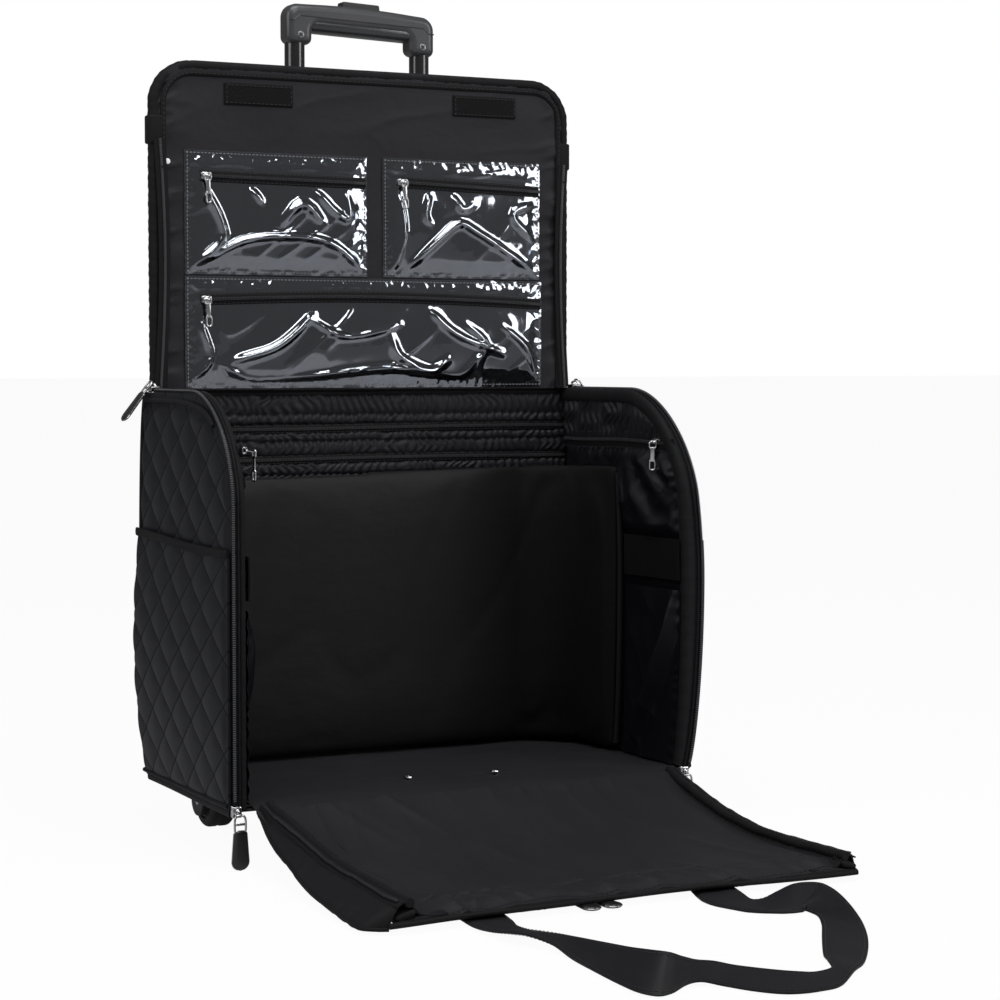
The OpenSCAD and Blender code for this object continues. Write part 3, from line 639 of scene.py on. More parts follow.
def makeSideWall(side):
    y, t = gridOf(depthSteps(-3.0, -depth + 0.4, 2.4), np.linspace(0, 1, 150))
    low = bottomZ + 2
    z = low + t * (outline(y) - 0.5 - low)
    band = np.interp(-y, -ridge[:, 0], ridge[:, 1], right=400)
    flatten = ease((band - 3 - z) / 9) * ease(edgeInset(y, z) / 12) * ease((-y) / 10)
    front = wallPoint(side, y, z, quiltHeight(y, z) * flatten - 1.2 * (1 - flatten))
    piece = cloth("sideWall" + sideName(side), front, wallT - 1.5, quilted, "root", uv=(y, z),
                  normals=(side, 0, 0), flip=side > 0, nodes=["side_wall_" + nodeSide(side)])
    line = resample(ridge, 3)
    path = wallPoint(side, line[:, 0], line[:, 1], 0.8)
    sweep("sideRidge" + sideName(side), path, (0, 0, 1), ring(3.4, 4.2, 10), bindingCloth, "root")


# A section drawn for the right side; the left one is flipped and keeps its direction
def mirroredRing(profile, side):
    return profile if side > 0 else (profile * [-1, 1])[..., ::-1, :]


rim = {"roll": 7.0, "height": 13.5, "inset": 5.6, "in": 10.2}


# A padded roll inside the edge, the flat zip tape with its piping, and the cord of the chain
def makeRim(side):
    yz, n = edgeLine(2.6)
    bulge = wallBow(side, yz[:, 0], yz[:, 1]) if side > 0 else np.zeros(len(n))
    x = wallX(side, yz[:, 0], yz[:, 1])
    path = pointsAt(x, yz[:, 0], yz[:, 1])
    up = pointsAt(np.zeros(len(n)), n[:, 0], n[:, 1])
    s = np.arange(len(n)) * 2.6
    pucker = 0.35 * np.sin(s * 0.9) + 0.25 * np.sin(s * 0.37 + 1.0)
    roll = rings(rim["roll"] + bulge * 0.35 + pucker, rim["height"] + pucker, 14, 2.4)
    roll = roll + pointsAt(-rim["in"] - bulge * 0.2, np.full(len(s), -rim["inset"]))[:, None]
    piece = sweep("rimRoll" + sideName(side), path, up, mirroredRing(roll, side), bindingCloth, "root",
                  nodes=["rims"])
    tape = ring(7.5, 1.3, 10, 3) + [-6.2, -1.2]
    sweep("rimTape" + sideName(side), path, up, mirroredRing(tape, side), zipTape, "root",
          nodes=["case_zip_chains"])
    welt = ring(1.9, 2.6, 8) + [-5.9, 0.2]
    sweep("rimWelt" + sideName(side), path, up, mirroredRing(welt, side), bindingCloth, "root")
    cord = ring(2.6, 2.2, 8) + [-1.6, 0.5]
    sweep("chainCord" + sideName(side), path, up, mirroredRing(cord, side), zipTape, "root",
          nodes=["case_zip_chains"], slot="zip_coil")


chain = {"pitch": 1.9, "across": 2.3, "along": 1.0, "high": 1.4}


# One small rounded block for each coil turn, square to the chain
def makeTeeth(name, path, up, body, material, size=chain):
    t, b, n = frames(path, up)
    shape = blockShape(size["across"], size["along"], size["high"], 0.72)
    return scatter(name, path, np.stack([-b, t, n], 1), shape, blockFaces, material, body, smooth=False)


def makeCaseTeeth(side):
    yz, n = edgeLine(chain["pitch"], 0.0, -8.0, 10.0)
    x = wallX(side, yz[:, 0], yz[:, 1], -1.6)
    path = pointsAt(x, yz[:, 0] + n[:, 0] * 1.0, yz[:, 1] + n[:, 1] * 1.0)
    up = pointsAt(np.zeros(len(n)), n[:, 0], n[:, 1])
    makeTeeth("chainTeeth" + sideName(side), path, up, "root", toothBright)


pocket = {"back": -3.5, "front": -219.6, "low": 50.0, "mouth": 268.5, "binding": 7.5, "full": 7.4}


# How far the pocket stands off its wall: slack at the mouth, fullest near its middle
def pocketOut(side, y, z):
    u = np.clip((pocket["back"] - y) / (pocket["back"] - pocket["front"]), 0, 1)
    v = np.clip((z - pocket["low"]) / (pocket["mouth"] - pocket["low"]), 0, 1)
    across = (1 - u ** 2) ** 0.8 * ease((u + 0.006) / 0.036)
    up = np.sin(np.pi * np.clip(v * 0.93, 0, 1)) ** 0.9
    return 1.0 + pocket["full"] * across * up * (1.0 if side < 0 else 0.6)


# The mouth climbs towards the back of the bag
def mouthRise(y):
    return 7.0 * ease((y - pocket["front"]) / -pocket["front"])


def makeOuterPocket(side):
    back, front, low = pocket["back"], pocket["front"], pocket["low"]
    y, t = gridOf(np.linspace(back, front, 92), np.linspace(0, 1, 96))
    z = low + t * (pocket["mouth"] - pocket["binding"] + 1 + mouthRise(y) - low)
    soft = ease((z - low) / 10) * ease((y - front) / 9) * ease((back - y) / 8)
    puff = quiltHeight(y, z) * soft * 0.7
    grid = wallPoint(side, y, z, 2.4 + pocketOut(side, y, z) + puff - 0.6)
    piece = cloth("outerPocket" + sideName(side), grid, 2.2, quilted, "root", uv=(y, z),
                  normals=(side, 0, 0), flip=side > 0, nodes=["outer_pockets"])
    y = np.linspace(back + 1.5, front + (1.0 if side < 0 else 22.0), 300)
    z = pocket["mouth"] - pocket["binding"] / 2 + mouthRise(y) + 0.5 * np.cos(y / 34)
    gather = 0.32 * np.sin(y * 2.9) * ease((-y - 60) / 60)
    sink = 1.8 * ease((front + 10 - y) / 9)
    path = wallPoint(side, y, z, 2.8 + pocketOut(side, y, z) - sink)
    band = rings(3.4 + gather, pocket["binding"] + gather, 12, 3)
    sweep("pocketBinding" + sideName(side), path, (0, 0, 1), mirroredRing(band, side), bindingCloth,
          "root", nodes=["pocket_bindings"])


def makeBottomTrim(side):
    y = np.linspace(-2, -depth + 4, 90)
    for name, lift, out, profile, material in (
            ("bottomPiping", 5.0, 2.6, ring(5.0, 4.4, 10), bindingCloth),
            ("bottomStrip", -1.0, -1.2, ring(6.5, 8.0, 12, 3), shellCloth)):
        path = wallPoint(side, y, np.full_like(y, bottomZ + lift), out)
        sweep(name + sideName(side), path, (0, 0, 1), mirroredRing(profile, side), material, "root")


for side in (-1, 1):
    makeSideWall(side)
    makeRim(side)
    makeCaseTeeth(side)
    makeOuterPocket(side)
    makeBottomTrim(side)
print("side walls, rims and outer pockets made")


# Wrinkles, stitches and zips

# Smooth random heights from -1 to 1: random values on a lattice one apart, eased between
def hills(u, v, seed):
    table = np.random.default_rng(seed).uniform(-1, 1, (64, 64))
    i, j = np.floor(u).astype(int), np.floor(v).astype(int)
    s, t = ease(u - i), ease(v - j)
    near = table[i % 64, j % 64] * (1 - s) + table[(i + 1) % 64, j % 64] * s
    far = table[i % 64, (j + 1) % 64] * (1 - s) + table[(i + 1) % 64, (j + 1) % 64] * s
    return near * (1 - t) + far * t


# Long folds that run at an angle: sharp ridges of hills stretched along it
def creases(u, v, turn, long, wide, seed, sharp=3.0):
    c, s = math.cos(math.radians(turn)), math.sin(math.radians(turn))
    return (1 - np.abs(hills((u * c + v * s) / long, (v * c - u * s) / wide, seed))) ** sharp


# Pleats of uneven width along s: a cosine whose phase drifts
def gathers(s, t, pitch, seed):
    return 0.5 + 0.5 * np.cos(2 * np.pi * (s / pitch + 0.7 * hills(s / (2.5 * pitch), t, seed)))


# A row of thread dashes that lie on a surface along a path
def makeStitches(name, path, out, body, step=4.4, size=(0.7, 2.9, 0.45), material=None, **more):
    even = resample(path, step, smooth=False)
    hint = np.broadcast_to(np.asarray(out, float), path.shape)
    along = np.linspace(0, 1, len(even))
    hint = np.stack([np.interp(along, np.linspace(0, 1, len(path)), hint[:, k]) for k in range(3)], -1)
    t, b, n = frames(even, hint)
    return scatter(name, even, np.stack([-b, t, n], 1), blockShape(*size, 0.7), blockFaces,
                   material or thread, body, **more)


smallChain = {"pitch": 1.5, "across": 3.0, "along": 0.8, "high": 1.1}


# A flat tape, a low cord under the coil, the coil's turns and a stitch row by each edge
def makeZip(name, path, out, width, body, nodes=()):
    up = np.broadcast_to(np.asarray(out, float), path.shape)
    _, b, n = frames(path, up)
    sweep(name + "Tape", path, up, ring(width, 1.3, 8, 5), zipTape, body, nodes=nodes)
    sweep(name + "Cord", path + n * 0.9, up, ring(3.8, 1.5, 8), zipTape, body, slot="zip_coil")
    turns = resample(path + n * 1.3, smallChain["pitch"], False)
    makeTeeth(name + "Teeth", turns, up[0], body, toothCoil, smallChain)
    for k, offset in enumerate((-width / 2 + 1.1, width / 2 - 1.1)):
        makeStitches(f"{name}Seam{k}", path + b * offset + n * 0.6, up, body, slot="zip_tape")


# Back of the case

def makeBackWall():
    x, z = gridOf(np.linspace(halfW - 1, 1 - halfW, 230), np.linspace(bottomZ + 2, topZ - 1, 180))
    soft = ease((halfW - np.abs(x)) / 10) * ease((z - bottomZ) / 10) * ease((topZ - z) / 10)
    wide = x - np.where(x < 0, wallBow(-1, 0 * z, z) * -x / halfW, 0)
    front = pointsAt(wide, quiltHeight(x, z) * soft * 0.8 - 0.6, z)
    cloth("backWall", front, 3.2, quilted, "root", uv=(x, z), normals=(0.0, 1.0, 0.0),
          nodes=["back_panel"])
    for side in (-1, 1):
        z = np.linspace(bottomZ + 1, topZ - 1, 120)
        path = pointsAt(wallX(side, 0 * z, z, -1.5), np.full_like(z, -1.0), z)
        sweep("backPiping" + sideName(side), path, (side, 1, 0), ring(6.0, 6.0, 10), bindingCloth,
              "root")
    x = np.linspace(-halfW + 4, halfW - 4, 140)
    path = pointsAt(x, np.full_like(x, -3.0), topZ - 2.5 + 0.5 * np.sin(x / 60))
    sweep("backTopPiping", path, (0, 0, 1), ring(8.0, 6.5, 12, 2.4), bindingCloth, "root")
    for k, z in enumerate((bottomZ + 6, topZ - 10)):
        path = pointsAt(x, np.full_like(x, 0.6), np.full_like(x, z))
        sweep(f"backBand{k}", path, (0, 1, 0), ring(10.0, 2.6, 10, 4), shellCloth, "root")


ruched = {"full": 2.8, "pleat": 2.2, "pitch": 8.5}


# Satin gathered along both edges and along a seam between: two soft rolls with scalloped pleats
def makeRuchedBand(name, x, z0, z1, seed, nodes=(), seam=0.3):
    x, t = gridOf(x, np.linspace(0, 1, 26))
    z = z0 + t * (z1 - z0)
    roll = np.where(t < seam, t / seam, (t - seam) / (1 - seam))
    deep = 0.45 + 0.55 * np.abs(2 * roll - 1)
    wave = gathers(x + 3 * hills(x / 30, t * 3, seed), t * 2, ruched["pitch"], seed)
    y = -4.4 - ruched["full"] * np.sin(np.pi * roll) ** 0.6 - ruched["pleat"] * wave * deep
    z = z + 0.8 * hills(x / 9, t, seed + 1) + 1.6 * (wave - 0.5) * np.exp(-((t - seam) / 0.12) ** 2)
    cloth(name, pointsAt(x, y, z), 1.0, ruchedSatin, "root", nodes=nodes)


def makeBackInside():
    x = np.linspace(-212.4, 212.4, 300)
    bands = bagBox("ruched_bands")
    tapes = bagBox("zip_tapes")
    top, low = bands[1][2], bands[0][2]
    makeRuchedBand("ruchedTop", x, top - 26, top + 1.5, 3, ["ruched_bands"])
    makeRuchedBand("ruchedMiddle", x, low, low + 21, 4, ["ruched_bands"], 0.62)
    makeRuchedBand("ruchedLow", x, tapes[0][2] - 16, tapes[0][2], 5)
    for k, z in enumerate((low + 21 + 0.3 + 3.7, tapes[0][2] + 3.7)):
        path = pointsAt(x, np.full_like(x, -5.6), z + 0.7 * np.sin(x / 70 + k))
        makeZip(f"backZip{k}", path, (0, -1, 0), 8.4, "root", ["zip_tapes"])
    x, z = gridOf(np.linspace(-212, 212, 90), np.linspace(54, top + 4, 60))
    y = -4.1 - 0.4 * creases(x, z, 20, 90, 18, 6)
    cloth("backSatin", pointsAt(x, y, z), 0.4, satin, "root")


makeBackWall()
makeBackInside()
print("back wall made")


# Padded liner

# Cloth simulation: an even mesh of the pad is blown up from inside, no point by more than most
def swell(piece, voxel, pressure, most, frames=20):
    scene = bpy.context.scene
    pad = newObject("swelling", piece.data.copy())
    grid = pad.modifiers.new("even", "REMESH")
    grid.mode = "VOXEL"
    grid.voxel_size = voxel * mm
    graph = bpy.context.evaluated_depsgraph_get()
    even = bpy.data.meshes.new_from_object(pad.evaluated_get(graph))
    pad.modifiers.clear()
    pad.data = even
    start = np.empty(len(even.vertices) * 3)
    even.vertices.foreach_get("co", start)
    sim = pad.modifiers.new("swell", "CLOTH")
    sim.settings.use_pressure = True
    sim.settings.uniform_pressure_force = pressure
    sim.settings.effector_weights.gravity = 0
    sim.point_cache.frame_end = frames
    for frame in range(1, frames + 1):
        scene.frame_set(frame)
    graph = bpy.context.evaluated_depsgraph_get()
    moved = bpy.data.meshes.new_from_object(pad.evaluated_get(graph))
    way = np.empty(len(start))
    moved.vertices.foreach_get("co", way)
    way = (way - start).reshape(-1, 3)
    way -= way.mean(0)
    length = np.linalg.norm(way, axis=1, keepdims=True).clip(1e-9)
    way *= np.minimum(length, most * mm) / length
    even.vertices.foreach_set("co", (start.reshape(-1, 3) + way).ravel())
    even.shade_smooth()
    even.update()
    old = piece.data
    piece.data = even
    bpy.data.objects.remove(pad)
    bpy.data.meshes.remove(moved)
    bpy.data.meshes.remove(old)
    scene.frame_set(1)
    smooth = piece.modifiers.new("smooth", "SUBSURF")
    smooth.levels = smooth.render_levels = 1
    print(piece.name, "swelled by up to", round(float(length.max()) / mm, 1), "mm,", len(even.vertices),
          "points")


linerBox = bagBox("padded_liner")
liner = {"thick": 12.0, "bend": 60.0, "crown": 3.2, "edge": 3.0, "rise": 7.0}


# Middle of the liner in plan, from the left wing's front round to the right wing's
def linerPath(step):
    x = linerBox[1][0] - liner["thick"] / 2
    back, front, r = linerBox[1][1] - liner["thick"] / 2, linerBox[0][1], liner["bend"]
    turn = np.linspace(0, np.pi / 2, 24)
    left = pointsAt(-x + r - r * np.cos(turn), back - r + r * np.sin(turn))
    right = pointsAt(x - r + r * np.sin(turn), back - r + r * np.cos(turn))
    corners = np.concatenate([[[-x, front]], left, right, [[x, front]]])
    return resample(corners, step, smooth=False)


def makeLiner():
    plan = linerPath(3.0)
    u = np.linspace(0, 1, len(plan))
    v = np.concatenate([np.linspace(0, 0.06, 7), np.linspace(0.06, 0.94, 74)[1:-1],
                        np.linspace(0.94, 1, 7)])
    z0, z1 = linerBox[0][2], linerBox[1][2]
    top = z1 + liner["rise"] * ease((plan[:, 0] + 150) / 330)
    p = np.zeros((len(plan), len(v), 3))
    p[..., :2] = plan[:, None]
    p[..., 2] = z0 + v * (top[:, None] - z0)
    p[..., 0] += 0.62 * wallBow(1, p[..., 1], p[..., 2]) * ease((p[..., 0] - 110) / 80)
    n = gridNormals(p)
    u, v = gridOf(u, v)
    across, up = u * len(plan) * 3.0, v * (z1 - z0)
    inset = np.minimum(np.minimum(across, len(plan) * 3.0 - across), np.minimum(up, z1 - z0 - up))
    rounded = np.sqrt(np.clip(1 - (1 - np.clip(inset / 6, 0, 1)) ** 2, 0, 1))
    crown = liner["crown"] * ease(inset / 60)
    dents = 1.1 * creases(across, up, 62, 120, 46, 8, 5) * ease(inset / 25)
    half = 0.8 + (liner["thick"] / 2 - liner["edge"]) * rounded
    inner = p + n * (half + crown * 0.8 + (liner["edge"] - 0.8) * rounded - dents)[..., None]
    thick = half * 2 + (crown * 0.8 + (liner["edge"] - 0.8) * rounded - dents)
    piece = cloth("paddedLiner", inner, thick, linerCloth, "root", normals=n, nodes=["padded_liner"])
    swell(piece, 5.0, 4.0, 3.0)
    for side, end in ((-1, 0), (1, -1)):
        line = p[end, 3:-3] + [0, -0.6, 0]
        sweep("linerPiping" + sideName(side), line, (0, -1, 0), ring(5.0, 4.0, 10), bindingCloth,
              "root")


makeLiner()
print("liner made")


# Floor of the case and the front panel

# True where a wheel housing comes up through the bottom
def wells(x, y):
    return (np.abs(np.abs(x) - 168) < 18.5) & (y > -57.5) & (y < -4)


def makeBottom():
    x = np.array([-221, -186.5, -149.5, -100, -50, 0, 50, 100, 149.5, 186.5, 221.0])
    y = np.array([-222, -170, -110, -57.5, -4, 0.0])
    gx, gy = gridOf(x, y)
    gx[0] = wallX(-1, y, bottomZ)
    points = pointsAt(gx, gy, np.full_like(gx, bottomZ)).reshape(-1, 3)
    faces = gridFaces(len(x), len(y))[:, ::-1]
    middle = points[faces].mean(1)
    faces = faces[~wells(middle[:, 0], middle[:, 1])]
    piece = addPiece("bottomCloth", points, faces, shellCloth, "root", uv=points[:, :2] * mm,
                     nodes=["bottom_panel"])
    solid = piece.modifiers.new("thickness", "SOLIDIFY")
    solid.thickness = 2.0 * mm
    solid.offset = -1.0


rivets = ((-34.0, -160.0), (50.0, -167.0))
floorTop = bagBox("base_board")[1][2]


# Cloth over the base board: low waves, and a dimple with short pull folds at each rivet
def floorHeight(x, y):
    h = 0.9 * hills(x / 60, y / 40, 12) + 1.1 * creases(x, y, 8, 150, 30, 13, 4)
    for k, (rx, ry) in enumerate(rivets):
        r = np.hypot((x - rx) * 0.55, y - ry)
        turn = np.arctan2(y - ry, x - rx)
        h = h - 2.4 * np.exp(-(r / 8) ** 2)
        h = h + 1.5 * np.cos(turn * 5 + k) * np.exp(-(r / 15) ** 2) * ease(r / 5)
    return h


def makeFloor():
    x, y = gridOf(np.linspace(-212.3, 212.3, 156), np.linspace(-219.5, -8, 80))
    drop = 1.6 * ease((-200 - y) / 20)
    z = floorTop - 0.9 + floorHeight(x, y) - drop
    x = x - np.clip(-x / halfW, 0, 1) * wallBow(-1, y, bottomZ)
    cloth("floorCloth", pointsAt(x, y, z), 1.2, panelCloth, "root", normals=(0.0, 0.0, 1.0),
          nodes=["base_board"])


panel = {"half": 210.0, "length": 280.0, "thick": 8.0, "slope": math.radians(8.11), "hem": 38.0,
         "pivotY": -226.5, "pivotZ": 48.5, "sag": 13.0, "pull": 14.0}
panelUp = np.array([0, -math.sin(panel["slope"]), math.cos(panel["slope"])])


def blendPiece(piece, first, second, start, stop):  # start and stop are not used
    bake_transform(piece)


# The soft panel hangs below the straight line from its hinge to its free edge
def panelSag(p):
    return panel["sag"] * np.sin(np.pi * np.clip(np.asarray(p, float) / panel["length"], 0, 1) ** 0.9)


# From the panel's own plane: p runs out from its hinge, q is the height above its middle
def panelPoint(x, p, q):
    c, s = math.cos(panel["slope"]), math.sin(panel["slope"])
    q = q - panelSag(p)
    wide = np.clip(np.asarray(x, float) / panel["half"], 0, 1) ** 2
    along = np.sin(np.pi * np.clip(np.asarray(p, float) / panel["length"], 0, 1) ** 0.8)
    x = x - panel["pull"] * wide * along
    return pointsAt(x, panel["pivotY"] - p * c - q * s, panel["pivotZ"] - p * s + q * c)


# Length of the panel over its width: the free edge draws back a little in the middle
def panelReach(x):
    return panel["length"] - 9.0 * np.cos(np.clip(x / panel["half"], -1, 1) * np.pi / 2) ** 1.5 + 1.5


# Height of the lining over the panel: slight crown, waves, and puckers along the hem seam
def panelTop(x, p):
    end = panelReach(x) - p
    h = 4.0 + 1.8 * hills(x / 62, p / 95, 21) + 3.2 * creases(x, p, 74, 170, 34, 22, 2.2)
    h = h + 1.6 * creases(x, p, 100, 110, 24, 24, 2.4)
    h = h - 1.3 * np.exp(-((end - panel["hem"]) / 2.2) ** 2)
    near = np.exp(-((end - panel["hem"] * 0.72) / 20) ** 2)
    h = h + (2.6 * creases(x, p, 58, 44, 15, 23, 2.4) - 0.9) * near
    return h - 4.6 * (1 - ease(end / 20)) - 2.0 * (1 - ease((panel["half"] - np.abs(x)) / 5))


def makePanel():
    u, t = gridOf(np.linspace(-1, 1, 230), np.linspace(0, 1, 170))
    x = u * panel["half"]
    p = 8 + t * (panelReach(x) - 8)
    cloth("frontLining", panelPoint(x, p, panelTop(x, p)), panelTop(x, p) + 0.4, panelCloth, "front",
          normals=panelUp, flip=True, nodes=["front_panel"])
    x, p = x[::2, ::2], p[::2, ::2]
    soft = ease((panel["half"] - np.abs(x)) / 8) * ease((p - 8) / 10) * ease((panelReach(x) - p) / 18)
    puff = np.minimum(quiltHeight(x, p) * 0.7, 1.9)
    piece = cloth("frontOutside", panelPoint(x, p, -0.8 - (2.2 + puff) * soft), 1.2 + 1.6 * soft,
                  quilted, "front", uv=(x, p), normals=-panelUp, nodes=["front_panel"])
    x = np.linspace(-panel["half"] - 6, panel["half"] - 1, 200)
    edge = panelPoint(x, panelReach(x), -1.2 + 0.5 * np.sin(x / 33))
    sweep("frontEdgeBinding", edge, panelUp, ring(5.0, 4.4, 12, 2.6), bindingCloth, "front")
    for name, inset, lift in (("frontHemSeam", panel["hem"], 0.1), ("frontEdgeSeam", 4.5, 0.7)):
        row = panelReach(x) - inset
        path = panelPoint(x, row, panelTop(x, row) + lift)
        makeStitches(name, path, panelUp, "front", slot="liner_fabric")


# Cloth that joins the case's floor to the front panel
def makePanelHinge():
    x, t = gridOf(np.linspace(-210, 210, 200), np.linspace(0, 1, 26))
    y = np.interp(x, (-210, -49, 210), (-203, -205, -215))
    start = pointsAt(x, y, floorTop + 0.2 + floorHeight(x, y) - 1.6 * ease((-200 - y) / 20))
    reach = np.full_like(x, 22.0)
    end = panelPoint(x, reach, panelTop(x, reach) - 1.6)
    ahead = panelPoint(x, np.full_like(x, 0.0), np.full_like(x, 6.0))
    t = t[..., None]
    curve = start * (1 - t) ** 2 + 2 * ahead * t * (1 - t) + end * t ** 2
    curve[..., 2] += 0.5 * hills(x / 26, t[..., 0] * 2, 31)
    piece = cloth("frontHingeCloth", curve[:, ::-1], 0.8, panelCloth, None)
    blendPiece(piece, "root", "front", (0, -219, 52), (0, -234, 52))


makeBottom()
makeFloor()
makePanel()
makePanelHinge()
print("floor and front panel made")


# Small rounded forms

# A rounded bar from a to b: a superellipse section that closes in a quarter circle at both ends
def bar(name, a, b, up, width, height, material, body, soft=2.0, power=3.0, count=16, **more):
    a, b = np.array(a, float), np.array(b, float)
    length = np.linalg.norm(b - a)
    turn = np.linspace(0, np.pi / 2, 6)
    soft = min(soft, length / 2.01)
    near = soft * (1 - np.cos(turn))
    place = np.concatenate([near, [length / 2], (length - near)[::-1]])
    scale = np.concatenate([np.sin(turn), [1], np.sin(turn)[::-1]]).clip(0.03, 1)
    path = a + (b - a) * (place / length)[:, None]
    small = min(width, height, 2 * soft) / 2
    wide = width - 2 * small * (1 - scale)
    high = height - 2 * small * (1 - scale)
    profile = rings(wide, high, count, power)
    return sweep(name, path, up, profile, material, body, **more)


# An outline in x and z, given counterclockwise from the front, drawn from y1 to y0 and bevelled
def slab(name, shape, y0, y1, bevelled, material, body, segments=4, **more):
    shape = np.asarray(shape, float)
    m = len(shape)
    front = pointsAt(shape[:, 0], np.full(m, y0), shape[:, 1])
    back = pointsAt(shape[:, 0], np.full(m, y1), shape[:, 1])
    k = np.arange(m)
    sides = pointsAt((k + 1) % m, k, k + m, (k + 1) % m + m)
    piece = addPiece(name, np.concatenate([front, back]), sides, material, body,
                     caps=[range(m), range(m, 2 * m)[::-1]], **more)
    bevel = piece.modifiers.new("edges", "BEVEL")
    bevel.width = bevelled * mm
    bevel.segments = segments
    bevel.limit_method = "ANGLE"
    bevel.angle_limit = math.radians(50)
    return piece


def arcPoints(x, z, r, first, last, count=8):
    a = np.radians(np.linspace(first, last, count))
    return [(x + r * math.cos(t), z + r * math.sin(t)) for t in a]


# Lid

lidPart, bendPart, flapPart = bagBox("lid_panel"), bagBox("bend_panel"), bagBox("lid_flap")
lid = {"z": lidPart[0][2], "inner": lidPart[0][1], "outer": lidPart[1][1], "half": lidPart[1][0],
       "length": flapPart[1][2] - lidPart[0][2] + 4.8, "corner": 40.0, "wide": 1.010, "shift": -3.4}
creaseS = (lidPart[1][2] - lid["z"], bendPart[1][2] - lid["z"])
splitS = sum(creaseS) / 2


# Half width of the lid over its length, drawn in along the round free corners
def lidHalf(s, inset=0.0):
    r = lid["corner"]
    over = np.clip(s - (lid["length"] - r), 0, r - 0.01)
    return lid["half"] - r + np.sqrt(np.maximum(r ** 2 - over ** 2, 0)) - inset


# The soft lid stands a little to the left and spreads a little past its pattern
def lidX(x):
    return x * lid["wide"] + lid["shift"]


# A point over the lid's inner face, out towards the inside of the bag
def lidPoint(x, s, out=0.0):
    return pointsAt(lidX(x), lid["inner"] - out, lid["z"] + s)


# The lower half goes with the first crease, the upper half with the second; the piece is only baked in
# place
def bendLid(piece, upper):
    s = creaseS[1] if upper else creaseS[0]
    names = ("lid_bend", "lid_end") if upper else ("lid", "lid_bend")
    middle = lid["z"] + s
    blendPiece(piece, *names, (0, lid["inner"], middle - 9), (0, lid["inner"], middle + 9))


def rows(first, last, step):
    return np.linspace(first, last, int((last - first) / step) + 1)


# Places along the lid, closer together where the free corners turn
def lidRows(upper):
    if not upper:
        return rows(0.0, splitS, 2.2)
    flat = rows(splitS, lid["length"] - lid["corner"], 2.2)
    turn = np.linspace(0, np.pi / 2, 34)[1:]
    return np.concatenate([flat, lid["length"] - lid["corner"] + lid["corner"] * np.sin(turn)])


# The lining over its padding: a soft crown, drawn folds round the pockets, ripples by the edges
def lidWaves(x, s):
    side = lid["half"] - np.abs(x)
    h = 1.0 * ease(side / 40) + 1.1 * hills(x / 55, s / 38, 41)
    h = h + 1.0 * creases(x, s, 8, 80, 20, 42, 4) * ease((s - 215) / 30)
    near = np.exp(-((np.abs(x) - 197) / 12) ** 2)
    return h + near * (1.9 * creases(x, s, 14, 34, 12, 43, 3) + 0.3 * np.sin(s / 4.5))


def makeLidCloth():
    for upper, part in ((False, "Lower"), (True, "Upper")):
        u, s = gridOf(np.linspace(-1, 1, 240), lidRows(upper))
        x = u * lidHalf(s, 3.0)
        nodes = ["bend_panel", "lid_flap"] if upper else ["lid_panel", "bend_panel"]
        soft = ease((lidHalf(s, 3.0) - np.abs(x)) / 8) * ease((lid["length"] - s) / 10) * ease(s / 10)
        puff = quiltHeight(x, s) * 0.85 * soft
        front = lidPoint(x, s, lidWaves(x, s) - 0.6)
        back = pointsAt(lidX(x), lid["outer"] + 0.2 - 1.4 * soft + puff, lid["z"] + s)
        for name, grid, thick, material, out in (
                ("lidLining", front, 2.0, lidLining, -1), ("lidOutside", back, 2.6, quilted, 1)):
            piece = cloth(name + part, grid, thick, material, None, uv=(x, s), normals=(0, out, 0),
                          flip=out > 0, nodes=nodes)
            bendLid(piece, upper)


# Points along the lid's edge: up one side below the split, or over both corners above it
def lidEdge(inset, step, upper):
    if not upper:
        s = rows(1, splitS, step)
        return [pointsAt(side * lidHalf(s, inset), s) for side in (-1, 1)]
    r = lid["corner"] - inset
    centre = np.array([lid["half"] - lid["corner"], lid["length"] - lid["corner"]])
    up = np.array([[lid["half"] - inset, splitS], [lid["half"] - inset, centre[1]]])
    turn = np.linspace(0, np.pi / 2, 40)
    right = np.concatenate([up, (centre + r * pointsAt(np.cos(turn), np.sin(turn)))[1:]])
    return [resample(np.concatenate([right, right[::-1] * [-1, 1]]), step, smooth=False)]


# The lid's zip chain draws in from the edge towards the middle of its run
def chainInset(s):
    return 6.0 + 5.0 * np.sin(np.pi * np.clip(s / 240, 0, 1))


tabs = {"left": (223.0, 249.0), "right": (214.0, 240.0)}


def makeLidEdge():
    middle = (lid["inner"] - lid["outer"]) / 2
    for upper in (False, True):
        for line in lidEdge(4.4, 2.4, upper):
            part = "Top" if upper else sideName(-1 if line[0, 0] < 0 else 1)
            s = np.arange(len(line)) * 2.4
            pucker = 0.4 * np.sin(s * 0.8) + 0.3 * np.sin(s * 0.31)
            bendLid(sweep("lidBinding" + part, lidPoint(line[:, 0], line[:, 1], middle), (0, -1, 0),
                          rings(9.6 + pucker, 13.0 + pucker, 14, 2.5), bindingCloth, None), upper)
        for line in lidEdge(11.5, 2.4, upper):
            part = "Top" if upper else sideName(-1 if line[0, 0] < 0 else 1)
            bendLid(sweep("lidWelt" + part, lidPoint(line[:, 0], line[:, 1], 1.2), (0, -1, 0),
                          ring(5.5, 3.4, 10), bindingCloth, None), upper)
            bendLid(makeStitches("lidWeltSeam" + part, lidPoint(line[:, 0], line[:, 1], 3.0),
                                 (0, -1, 0), None, slot="binding_fabric"), upper)


